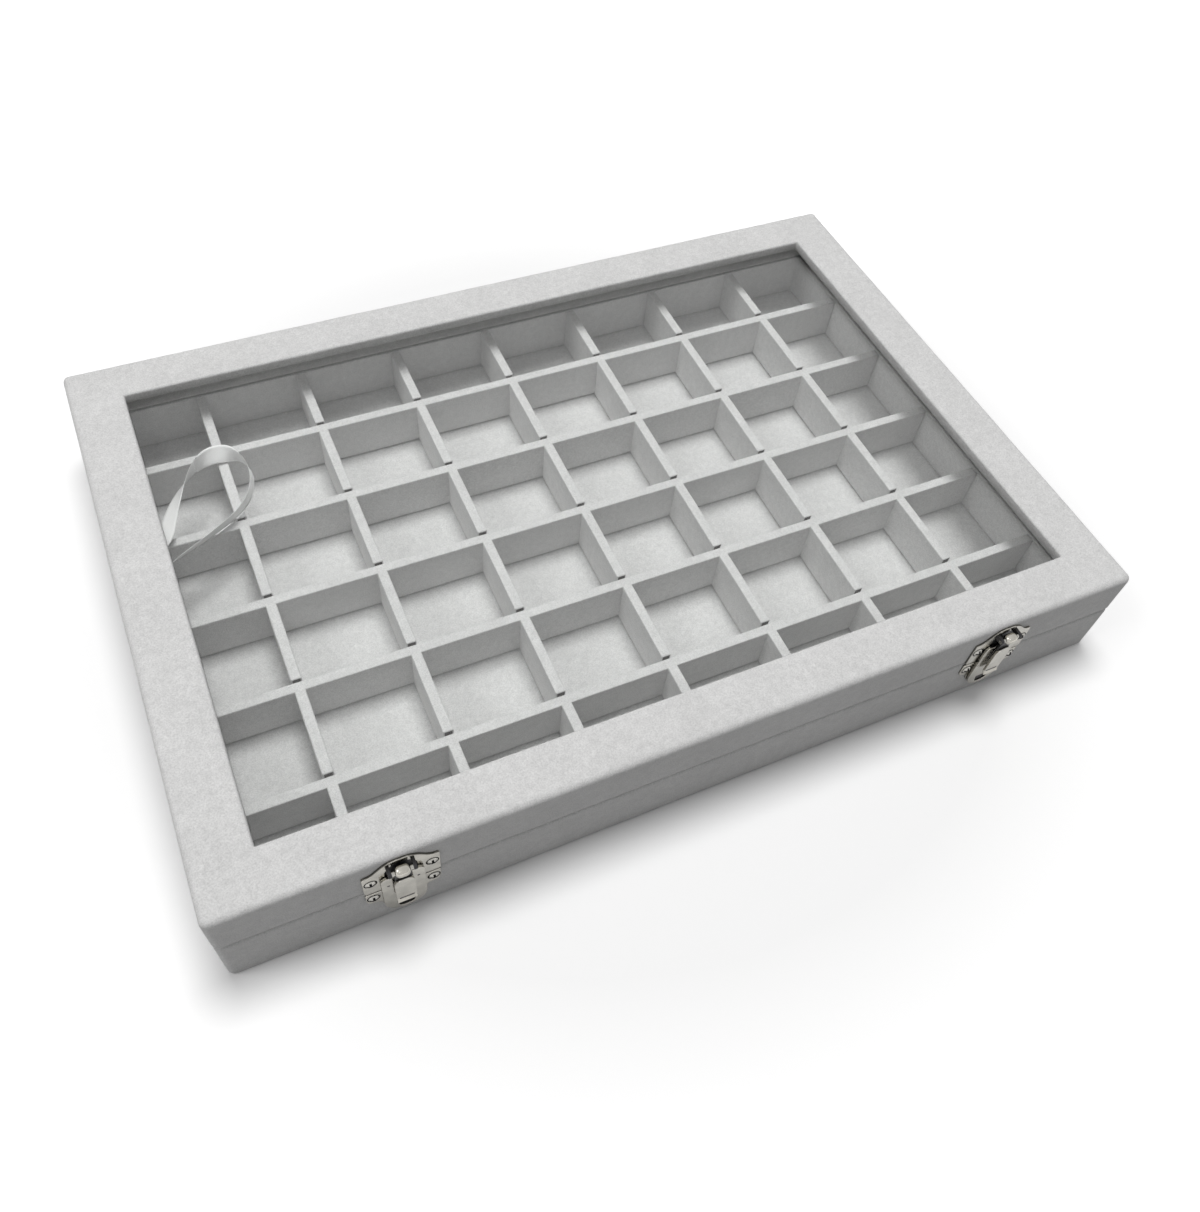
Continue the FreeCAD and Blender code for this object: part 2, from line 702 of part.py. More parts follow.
def latch_keeper(side):
    """Build the base's keeper: eared sheet, nose that stands up before the lid's plate, and catch slot."""
    body = add("PartDesign::Body", f"latch_keeper_{side}")
    half = size("plate_width") / 2
    height = size("keeper_height")
    ear = -height * KEEPER_EAR_SHARE
    root = -height * KEEPER_ROOT_SHARE
    bend = -height * KEEPER_BEND_SHARE
    waist = half * KEEPER_WAIST_SHARE
    outline = new_sketch(body, "outline", "XZ_Plane")
    draw_outline(outline, [
        ((-half, 0), (half, 0)),
        ((half, 0), (half, ear)),
        ((half, ear), (waist, root)),
        ((waist, root), (waist, bend)),
        ((waist, bend), (0, -height), (-waist, bend)),
        ((-waist, bend), (-waist, root)),
        ((-waist, root), (-half, ear)),
        ((-half, ear), (-half, 0)),
    ])
    screw_circles(outline, -size("keeper_screw_drop"))
    pad(body, outline, "sizes.plate")
    nose_foot = new_sketch(body, "nose_foot", "XZ_Plane", "sizes.plate")
    draw_outline(nose_foot, [
        ((-waist, 0), (waist, 0)),
        ((waist, 0), (waist, bend)),
        ((waist, bend), (0, -height), (-waist, bend)),
        ((-waist, bend), (-waist, 0)),
    ])
    pad(body, nose_foot, "sizes.nose_gap + sizes.nose")
    rise = size("nose_rise")
    corner = size("nose_corner")
    corner_mid = corner * (1 - math.sqrt(0.5))
    nose_tip = new_sketch(body, "nose_tip", "XZ_Plane", "sizes.plate + sizes.nose_gap")
    draw_outline(nose_tip, [
        ((-waist, bend), (waist, bend)),
        ((waist, bend), (waist, rise - corner)),
        ((waist, rise - corner), (waist - corner_mid, rise - corner_mid), (waist - corner, rise)),
        ((waist - corner, rise), (corner - waist, rise)),
        ((corner - waist, rise), (corner_mid - waist, rise - corner_mid), (-waist, rise - corner)),
        ((-waist, rise - corner), (-waist, bend)),
    ])
    pad(body, nose_tip, "sizes.nose")
    catch = new_sketch(body, "catch", "XZ_Plane", "sizes.plate + sizes.nose_gap + sizes.nose")
    catch_low = ("-sizes.catch_width / 2", "-sizes.catch_drop - sizes.catch_height")
    draw_rectangle(catch, catch_low, ("sizes.catch_width", "sizes.catch_height"))
    pocket(body, catch, "sizes.catch_depth")
    return keep(body)


def build_latches():
    """Build both latches: lid plate, pin, lever and keeper."""
    for side, sign in SIDES.items():
        centre = f"{sign} * derived.latch_x"
        place(latch_plate(side), centre, "derived.front_y", "derived.plate_foot")
        place(latch_lever(side), centre, "derived.front_y", "derived.plate_foot")
        place(latch_keeper(side), centre, "derived.front_y", "derived.keeper_top")
        pin_start = (
            f"{centre} - derived.yoke_width / 2",
            "derived.front_y - derived.pin_reach",
            "derived.plate_foot + sizes.pin_lift",
        )
        keep(rod(f"latch_pin_{side}", ALONG_X, pin_start, "sizes.latch_pin_radius", "derived.yoke_width"))


def strip_face(points, thickness):
    """Return a plan face of even thickness along straight runs joined by tangent arcs.

    Prints the length of the middle line and its least bend radius.
    """
    runs = [(end - start).normalize() for start, end in zip(points, points[1:])]
    lengths = [(end - start).Length for start, end in zip(points, points[1:])]
    half = thickness / 2
    left = [points[0] + UP.cross(runs[0]) * half]
    right = [points[0] - UP.cross(runs[0]) * half]
    left_edges = []
    right_edges = []
    radii = []
    middle_length = sum(lengths)
    for number, corner in enumerate(points[1:-1], start=1):
        before, after = runs[number - 1], runs[number]
        turn = before.getAngle(after)
        tangent = BEND_SHARE * min(lengths[number - 1], lengths[number])
        radius = tangent / math.tan(turn / 2)
        radii.append(radius)
        middle_length += radius * turn - 2 * tangent
        way = 1 if before.cross(after).z > 0 else -1
        centre = corner - before * tangent + UP.cross(before) * (radius * way)
        towards = (corner - centre).normalize()
        ends = (-UP.cross(before) * way, towards, -UP.cross(after) * way)
        for side, path, edges in ((1, left, left_edges), (-1, right, right_edges)):
            spread = radius - half * side * way
            start, middle, end = (centre + direction * spread for direction in ends)
            edges.append(Part.LineSegment(path[-1], start).toShape())
            edges.append(Part.Arc(start, middle, end).toShape())
            path.append(end)
    for side, path, edges in ((1, left, left_edges), (-1, right, right_edges)):
        last = points[-1] + UP.cross(runs[-1]) * (half * side)
        edges.append(Part.LineSegment(path[-1], last).toShape())
        path.append(last)
    caps = [
        Part.LineSegment(left[0], right[0]).toShape(),
        Part.LineSegment(left[-1], right[-1]).toShape(),
    ]
    print(f"ribbon loop {middle_length:.1f} mm long, least bend radius {min(radii):.1f} mm")
    return Part.Face(Part.Wire(Part.__sortEdges__(left_edges + right_edges + caps)))


def build_ribbon():
    """Build the ribbon: a loop standing on edge over the dividers, with a tail on each lining."""
    thickness = size("ribbon")
    width = size("ribbon_width")
    wall = -size("inner_x") / 2 + size("ribbon_seat")
    foot = size("divider_top") + size("ribbon_lift")
    ends_x = wall + thickness / 2
    plan = [(ends_x, RIBBON_BASE_END), *RIBBON_ROUTE, (ends_x, RIBBON_LID_END)]
    points = [FreeCAD.Vector(x, y, foot) for x, y in plan]
    loop = strip_face(points, thickness).extrude(UP * width)
    tail_height = width + size("ribbon_tail")
    base_corner = FreeCAD.Vector(wall, RIBBON_BASE_END - width / 2, foot - size("ribbon_tail"))
    lid_corner = FreeCAD.Vector(wall, RIBBON_LID_END - width / 2, foot)
    tails = [Part.makeBox(thickness, width, tail_height, corner) for corner in (base_corner, lid_corner)]
    ribbon = add("Part::Feature", "lid_stay_ribbon")
    ribbon.Shape = loop.fuse(tails).removeSplitter()
    keep(ribbon)


def write_parts():
    """Check every object and write each sub-part to its own file."""
    doc.recompute()
    for piece in doc.Objects:
        if "Invalid" in piece.State or "Error" in piece.State:
            raise RuntimeError(f"{piece.Label} failed to build")
    for piece in nodes:
        if piece.Shape.isNull() or not piece.Shape.isValid() or len(piece.Shape.Solids) != 1:
            raise RuntimeError(f"{piece.Label} is not one valid solid")
    os.makedirs("parts", exist_ok=True)
    for piece in nodes:
        piece.Shape.exportStep(f"parts/{piece.Label}.step")
    print(f"{len(nodes)} sub-parts written")


fill_sheet(sizes, SIZES)
fill_sheet(derived, DERIVED, "=")
latch_seat = "derived.front_y - sizes.plate"
leaf_seat = "derived.back_y + sizes.leaf"
plate_holes = screw_group(
    "latch_plate", OUT_FRONT, "derived.latch_x", "sizes.latch_screw_spacing",
    latch_seat, "derived.plate_foot + sizes.plate_screw_lift",
)
keeper_holes = screw_group(
    "latch_keeper", OUT_FRONT, "derived.latch_x", "sizes.latch_screw_spacing",
    latch_seat, "derived.keeper_top - sizes.keeper_screw_drop",
)
upper_holes = screw_group(
    "hinge_upper", OUT_BACK, "derived.hinge_x", "sizes.leaf_screw_spacing",
    leaf_seat, "derived.hinge_z + sizes.leaf_screw_drop",
)
lower_holes = screw_group(
    "hinge_lower", OUT_BACK, "derived.hinge_x", "sizes.leaf_screw_spacing",
    leaf_seat, "derived.hinge_z - sizes.leaf_screw_drop",
)
build_base({
    "front": keeper_holes["left"] + keeper_holes["right"],
    "back": lower_holes["left"] + lower_holes["right"],
})
build_dividers()
build_lid({
    "front": plate_holes["left"] + plate_holes["right"],
    "back": upper_holes["left"] + upper_holes["right"],
})
build_hinges(upper_holes, lower_holes)
build_latches()
build_ribbon()
write_parts()
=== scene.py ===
"""Looks of a velvet display case with a hinged glass lid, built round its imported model."""

import logging
import math
from collections.abc import Iterable, Sequence
from dataclasses import dataclass
from enum import Enum
from itertools import pairwise

import bmesh
import bpy
from bmesh.types import BMEdge, BMFace, BMVert
from mathutils import Matrix, Vector, noise


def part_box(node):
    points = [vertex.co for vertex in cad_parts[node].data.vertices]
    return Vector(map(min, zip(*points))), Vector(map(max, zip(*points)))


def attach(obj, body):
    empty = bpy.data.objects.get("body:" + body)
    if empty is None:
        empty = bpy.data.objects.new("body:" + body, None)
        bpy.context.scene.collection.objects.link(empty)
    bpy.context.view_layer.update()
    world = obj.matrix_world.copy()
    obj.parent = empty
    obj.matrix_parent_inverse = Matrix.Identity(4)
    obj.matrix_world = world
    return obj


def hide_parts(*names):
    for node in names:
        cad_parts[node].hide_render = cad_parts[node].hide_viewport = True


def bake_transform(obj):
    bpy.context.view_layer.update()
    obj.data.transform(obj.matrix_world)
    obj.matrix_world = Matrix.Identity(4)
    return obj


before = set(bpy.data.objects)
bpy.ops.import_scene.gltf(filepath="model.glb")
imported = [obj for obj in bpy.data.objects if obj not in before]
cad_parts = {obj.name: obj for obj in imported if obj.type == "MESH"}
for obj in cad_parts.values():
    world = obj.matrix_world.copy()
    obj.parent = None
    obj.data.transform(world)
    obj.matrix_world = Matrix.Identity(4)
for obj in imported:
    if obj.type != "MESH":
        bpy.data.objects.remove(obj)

Piece = bpy.types.Object
Socket = bpy.types.NodeSocket
Span = tuple[float, float]
Triple = tuple[float, float, float]
Outline = Sequence[Triple]

LOG = logging.getLogger("display_case")
MM = 0.001
CLOSE = 1e-4
STRAIGHT_SHARE = 0.9999
QUARTER_TURN = math.radians(90.0)
CORNER_STEPS = 5
BARREL_SIDES = 40
BARREL_END_STEPS = 4
SEAM_ANGLE = 50.0
RIM_ANGLE = 60.0
SOFT_GRAIN = 2.0
GRAIN = 3.0
FINE_GRAIN = 4.0
NOISE_SPAN = (0.3, 0.7)
UNIT_SPAN = (0.0, 1.0)
EVEN = (1.0, 1.0, 1.0)
WHITE = (1.0, 1.0, 1.0, 1.0)
RIBBON_HALF_WIDTH = 3.5
IMAGE_HEIGHT = 1212.0
SENSOR = 36.0
BOARD_SIDES = ("front", "back", "left", "right")


class Side(Enum):
    """Half of the case that a latch or hinge sits on, by the sign of its X."""

    LEFT = -1
    RIGHT = 1


class Body(Enum):
    """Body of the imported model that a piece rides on."""

    BASE = "base"
    LID = "lid"
    LEVER_LEFT = "lever_left"
    LEVER_RIGHT = "lever_right"


class Slot(Enum):
    """Material slot of the record that a piece takes its finish from."""

    VELVET = "grey_velvet"
    FIBREBOARD = "fibreboard"
    GLASS = "clear_glass"
    NICKEL = "bright_nickel"
    RIBBON = "satin_ribbon"
    UNDERSIDE = "underside_cloth"


class Run(Enum):
    """Direction in which a divider runs, by the number of its axis."""

    LONG = 0
    CROSS = 1


class NodeGraph:
    """Node tree with short calls that add and join nodes."""

    def __init__(self, tree: bpy.types.NodeTree) -> None:
        """Start from an empty tree."""
        self.tree = tree
        tree.nodes.clear()

    def feed(self, socket: Socket, value: object) -> None:
        """Join an output to an input, or set the input's own value.

        Args:
            socket: The input.
            value: Value or output socket.
        """
        if isinstance(value, Socket):
            self.tree.links.new(value, socket)
        else:
            socket.default_value = value

    def add(self, kind: str, inputs: dict[str, object] | None = None, **settings: object) -> bpy.types.Node:
        """Add a node.

        Args:
            kind: Blender's name of the node type.
            inputs: Value or output socket for each input, by the input's name.
            settings: Properties of the node itself.

        Returns:
            The new node.
        """
        node = self.tree.nodes.new(kind)
        for name, value in settings.items():
            setattr(node, name, value)
        for name, value in (inputs or {}).items():
            self.feed(node.inputs[name], value)
        return node

    def math(self, operation: str, first: object, second: object) -> Socket:
        """Join two values with a Math node.

        Args:
            operation: Operation of the node.
            first: Left value or socket.
            second: Right value or socket.

        Returns:
            The node's output.
        """
        node = self.add("ShaderNodeMath", operation=operation)
        self.feed(node.inputs[0], first)
        self.feed(node.inputs[1], second)
        return node.outputs["Value"]

    def coordinates(self, stretch: Triple = EVEN) -> Socket:
        """Give object coordinates, stretched along the axes where a grain needs it.

        Args:
            stretch: Scale along X, Y and Z.

        Returns:
            The coordinate output.
        """
        place = self.add("ShaderNodeTexCoord").outputs["Object"]
        if stretch == EVEN:
            return place
        return self.add("ShaderNodeMapping", {"Vector": place, "Scale": stretch}).outputs["Vector"]

    def speckle(self, place: Socket, scale: float, detail: float = SOFT_GRAIN) -> Socket:
        """Add noise.

        Args:
            place: Coordinates.
            scale: Repeats per metre.
            detail: Octaves.

        Returns:
            The noise as a value from 0 to 1.
        """
        inputs = {"Vector": place, "Scale": scale, "Detail": detail}
        return self.add("ShaderNodeTexNoise", inputs).outputs["Fac"]

    def spread(self, value: Socket, span: Span, source: Span = NOISE_SPAN) -> Socket:
        """Map a value from one range to another.

        Args:
            value: Value to map.
            span: Results at the two ends.
            source: Values that give them.

        Returns:
            The mapped value.
        """
        ends = {"From Min": source[0], "From Max": source[1], "To Min": span[0], "To Max": span[1]}
        return self.add("ShaderNodeMapRange", {"Value": value, **ends}).outputs["Result"]

    def tint(self, colour: Triple, strength: Socket) -> Socket:
        """Scale a colour's brightness.

        Args:
            colour: Plain colour.
            strength: Brightness factor.

        Returns:
            The colour output.
        """
        inputs = {"Color": (*colour, 1.0), "Value": strength}
        return self.add("ShaderNodeHueSaturation", inputs).outputs["Color"]

    def bump(self, height: Socket, strength: float, depth: float) -> Socket:
        """Turn a height into a bent normal.

        Args:
            height: Height from 0 to 1.
            strength: Strength of the bump.
            depth: Depth in metres.

        Returns:
            The normal output.
        """
        inputs = {"Height": height, "Strength": strength, "Distance": depth}
        return self.add("ShaderNodeBump", inputs).outputs["Normal"]

    def principled(self, inputs: dict[str, object]) -> Socket:
        """Add a Principled shader and return its output."""
        return self.add("ShaderNodeBsdfPrincipled", inputs).outputs["BSDF"]

    def mix(self, share: Socket, first: Socket, second: Socket) -> Socket:
        """Mix two shaders.

        Args:
            share: Share of the second.
            first: Shader at 0.
            second: Shader at 1.

        Returns:
            The mixed shader.
        """
        node = self.add("ShaderNodeMixShader", {"Fac": share})
        self.feed(node.inputs[1], first)
        self.feed(node.inputs[2], second)
        return node.outputs["Shader"]

    def output(self, shader: Socket, kind: str = "ShaderNodeOutputMaterial") -> None:
        """Join a shader to the tree's output."""
        self.add(kind, {"Surface": shader})


class Finish:
    """A surface finish that is made into a material once."""

    slot: Slot

    def build(self, graph: NodeGraph) -> Socket:
        """Lay out the finish and return its shader."""
        raise NotImplementedError

    def material(self) -> bpy.types.Material:
        """Make the material, or give the one that was made before.

        Returns:
            The material.
        """
        name = f"{self.slot.value}_{type(self).__name__.lower()}"
        made = bpy.data.materials.get(name)
        if made is None:
            made = bpy.data.materials.new(name)
            made.use_nodes = True
            graph = NodeGraph(made.node_tree)
            graph.output(self.build(graph))
        return made


@dataclass(frozen=True)
class Velvet(Finish):
    """Short pile velvet: brushed pile with painted nap sheen in lighter and darker patches, mottled pile and
    a soft sheen.
    """

    slot: Slot = Slot.VELVET
    colour: Triple = (0.657, 0.655, 0.651)
    patch_scale: float = 46.0
    nap_sheen: Span = (0.97, 1.03)
    mottle_scale: float = 430.0
    mottle: Span = (0.95, 1.05)
    pile_scale: float = 2100.0
    tufts: Span = (0.87, 1.12)
    pile_bump: float = 0.5
    pile_depth: float = 0.00035
    roughness: float = 0.95
    gloss: float = 0.15
    sheen: float = 0.35
    sheen_roughness: float = 0.45

    def build(self, graph: NodeGraph) -> Socket:
        """Lay out the velvet.

        Args:
            graph: Empty node tree.

        Returns:
            The shader.
        """
        place = graph.coordinates()
        # Lighter and darker patches: painted sheen of the brushed pile.
        nap_sheen = graph.spread(graph.speckle(place, self.patch_scale, GRAIN), self.nap_sheen)
        mottle = graph.spread(graph.speckle(place, self.mottle_scale), self.mottle)
        pile = graph.speckle(place, self.pile_scale, GRAIN)
        tufts = graph.spread(pile, self.tufts)
        strength = graph.math("MULTIPLY", graph.math("MULTIPLY", nap_sheen, mottle), tufts)
        return graph.principled({
            "Base Color": graph.tint(self.colour, strength),
            "Roughness": self.roughness,
            "Specular IOR Level": self.gloss,
            "Sheen Weight": self.sheen,
            "Sheen Roughness": self.sheen_roughness,
            "Normal": graph.bump(pile, self.pile_bump, self.pile_depth),
        })


@dataclass(frozen=True)
class Nickel(Finish):
    """Bright nickel plate: warm, smooth, with faint scratches and clouding."""

    slot: Slot = Slot.NICKEL
    colour: Triple = (0.44, 0.425, 0.385)
    cloud_scale: float = 260.0
    clouds: Span = (0.86, 1.1)
    scratch_scale: float = 900.0
    scratch_stretch: Triple = (0.15, 1.0, 1.6)
    roughness: Span = (0.15, 0.27)
    scratch_bump: float = 0.12
    scratch_depth: float = 0.00005

    def build(self, graph: NodeGraph) -> Socket:
        """Lay out the plating.

        Args:
            graph: Empty node tree.

        Returns:
            The shader.
        """
        clouds = graph.speckle(graph.coordinates(), self.cloud_scale, GRAIN)
        scratches = graph.speckle(graph.coordinates(self.scratch_stretch), self.scratch_scale, FINE_GRAIN)
        return graph.principled({
            "Base Color": graph.tint(self.colour, graph.spread(clouds, self.clouds)),
            "Metallic": 1.0,
            "Roughness": graph.spread(scratches, self.roughness),
            "Normal": graph.bump(scratches, self.scratch_bump, self.scratch_depth),
        })


@dataclass(frozen=True)
class ScrewSteel(Nickel):
    """Thin nickel on steel screws and pins, darker and duller than the plates."""

    colour: Triple = (0.4, 0.39, 0.365)


@dataclass(frozen=True)
class SpringSteel(Finish):
    """Near black steel, a little clouded: painted shade for the latch's gaps and hollows."""

    slot: Slot = Slot.NICKEL
    colour: Triple = (0.035, 0.034, 0.036)
    cloud_scale: float = 420.0
    clouds: Span = (0.7, 1.3)
    metallic: float = 0.6
    roughness: Span = (0.35, 0.5)
    cloud_bump: float = 0.1
    cloud_depth: float = 0.00005

    def build(self, graph: NodeGraph) -> Socket:
        """Lay out the blackened steel.

        Args:
            graph: Empty node tree.

        Returns:
            The shader.
        """
        clouds = graph.speckle(graph.coordinates(), self.cloud_scale, GRAIN)
        return graph.principled({
            "Base Color": graph.tint(self.colour, graph.spread(clouds, self.clouds)),
            "Metallic": self.metallic,
            "Roughness": graph.spread(clouds, self.roughness),
            "Normal": graph.bump(clouds, self.cloud_bump, self.cloud_depth),
        })


@dataclass(frozen=True)
class Hollow(Finish):
    """Painted shade of an unlit recess: near black and dull."""

    slot: Slot = Slot.NICKEL
    colour: Triple = (0.012, 0.012, 0.012)
    cloud_scale: float = 700.0
    clouds: Span = (0.8, 1.2)
    roughness: float = 0.9
    gloss: float = 0.1

    def build(self, graph: NodeGraph) -> Socket:
        """Lay out the hollow.

        Args:
            graph: Empty node tree.

        Returns:
            The shader.
        """
        clouds = graph.speckle(graph.coordinates(), self.cloud_scale)
        return graph.principled({
            "Base Color": graph.tint(self.colour, graph.spread(clouds, self.clouds)),
            "Roughness": self.roughness,
            "Specular IOR Level": self.gloss,
        })


@dataclass(frozen=True)
class ClearGlass(Finish):
    """Clear float glass that lets the lamps through to what it covers."""

    slot: Slot = Slot.GLASS
    colour: Triple = (0.99, 0.995, 0.992)
    index: float = 1.45
    smear_scale: float = 24.0
    smears: Span = (0.0, 0.03)
    smear_span: Span = (0.45, 0.7)

    def build(self, graph: NodeGraph) -> Socket:
        """Lay out the glass.

        Args:
            graph: Empty node tree.

        Returns:
            The shader.
        """
        smears = graph.speckle(graph.coordinates(), self.smear_scale, GRAIN)
        pane = graph.principled({
            "Base Color": (*self.colour, 1.0),
            "Roughness": graph.spread(smears, self.smears, self.smear_span),
            "IOR": self.index,
            "Transmission Weight": 1.0,
        })
        clear = graph.add("ShaderNodeBsdfTransparent", {"Color": (*self.colour, 1.0)}).outputs["BSDF"]
        rays = graph.add("ShaderNodeLightPath").outputs
        through = graph.math("MAXIMUM", rays["Is Shadow Ray"], rays["Is Diffuse Ray"])
        return graph.mix(through, pane, clear)


@dataclass(frozen=True)
class SatinRibbon(Finish):
    """Sheer white ribbon with a satin gloss and denser selvedges."""

    slot: Slot = Slot.RIBBON
    colour: Triple = (0.95, 0.95, 0.945)
    ribs: float = 800.0
    rib_waver: float = 1.2
    ribbing: Span = (0.98, 1.02)
    rib_bump: float = 0.15
    rib_depth: float = 0.00004
    sheer: float = 0.72
    selvedge: Span = (0.4, 0.46)
    selvedge_gain: float = 0.03
    folded: Span = (-0.145, -0.128)
    roughness: float = 0.5
    sheen: float = 0.6
    sheen_roughness: float = 0.4

    def build(self, graph: NodeGraph) -> Socket:
        """Lay out the ribbon on its own UV map: X along it, Y across it.

        Args:
            graph: Empty node tree.

        Returns:
            The shader.
        """
        place = graph.add("ShaderNodeTexCoord").outputs["UV"]
        across = graph.add("ShaderNodeSeparateXYZ", {"Vector": place}).outputs["Y"]
        from_middle = graph.math("ABSOLUTE", graph.math("SUBTRACT", across, 0.5), 0.0)
        edge = graph.spread(from_middle, UNIT_SPAN, self.selvedge)
        sideways = graph.add("ShaderNodeSeparateXYZ", {"Vector": graph.coordinates()}).outputs["X"]
        dense = graph.math("MAXIMUM", edge, graph.spread(sideways, (1.0, 0.0), self.folded))
        settings = {"Vector": place, "Scale": self.ribs, "Distortion": self.rib_waver}
        threads = graph.add("ShaderNodeTexWave", settings).outputs["Fac"]
        ribbing = graph.spread(threads, self.ribbing, UNIT_SPAN)
        strength = graph.math("ADD", ribbing, graph.math("MULTIPLY", edge, self.selvedge_gain))
        return graph.principled({
            "Base Color": graph.tint(self.colour, strength),
            "Roughness": self.roughness,
            "Sheen Weight": self.sheen,
            "Sheen Roughness": self.sheen_roughness,
            "Alpha": graph.spread(dense, (self.sheer, 1.0), UNIT_SPAN),
            "Normal": graph.bump(threads, self.rib_bump, self.rib_depth),
        })


@dataclass(frozen=True)
class Fibreboard(Finish):
    """Raw pressed board: grey brown, fibrous and dull."""

    slot: Slot = Slot.FIBREBOARD
    colour: Triple = (0.4, 0.375, 0.34)
    fibre_scale: float = 900.0
    fibre_stretch: Triple = (0.35, 1.0, 1.0)
    fibres: Span = (0.75, 1.2)
    fibre_bump: float = 0.3
    fibre_depth: float = 0.0002
    cloud_scale: float = 120.0
    clouds: Span = (0.92, 1.06)
    roughness: float = 0.85

    def build(self, graph: NodeGraph) -> Socket:
        """Lay out the board.

        Args:
            graph: Empty node tree.

        Returns:
            The shader.
        """
        fibres = graph.speckle(graph.coordinates(self.fibre_stretch), self.fibre_scale, FINE_GRAIN)
        clouds = graph.spread(graph.speckle(graph.coordinates(), self.cloud_scale), self.clouds)
        strength = graph.math("MULTIPLY", graph.spread(fibres, self.fibres), clouds)
        return graph.principled({
            "Base Color": graph.tint(self.colour, strength),
            "Roughness": self.roughness,
            "Normal": graph.bump(fibres, self.fibre_bump, self.fibre_depth),
        })


@dataclass(frozen=True)
class CutEdge(Fibreboard):
    """Painted shade on the back ends of the cross dividers' notches, where the gap behind each long divider
    lies in shade.
    """

    colour: Triple = (0.06, 0.055, 0.05)


@dataclass(frozen=True)
class UndersideCloth(Finish):
    """Plain woven cloth pasted under the base."""

    slot: Slot = Slot.UNDERSIDE
    colour: Triple = (0.24, 0.24, 0.245)
    threads: float = 520.0
    thread_waver: float = 0.6
    weave: Span = (0.72, 1.1)
    weave_bump: float = 0.4
    weave_depth: float = 0.0002
    wear_scale: float = 60.0
    wear: Span = (0.9, 1.08)
    roughness: float = 0.9
    sheen: float = 0.15

    def build(self, graph: NodeGraph) -> Socket:
        """Lay out the weave as two crossing sets of threads.

        Args:
            graph: Empty node tree.

        Returns:
            The shader.
        """
        place = graph.coordinates()
        settings = {"Vector": place, "Scale": self.threads, "Distortion": self.thread_waver}
        warp, weft = (
            graph.add("ShaderNodeTexWave", settings, bands_direction=direction).outputs["Fac"]
            for direction in ("X", "Y")
        )
        weave = graph.math("MAXIMUM", warp, weft)
        wear = graph.spread(graph.speckle(place, self.wear_scale, GRAIN), self.wear)
        strength = graph.math("MULTIPLY", graph.spread(weave, self.weave, UNIT_SPAN), wear)
        return graph.principled({
            "Base Color": graph.tint(self.colour, strength),
            "Roughness": self.roughness,
            "Sheen Weight": self.sheen,
            "Normal": graph.bump(weave, self.weave_bump, self.weave_depth),
        })


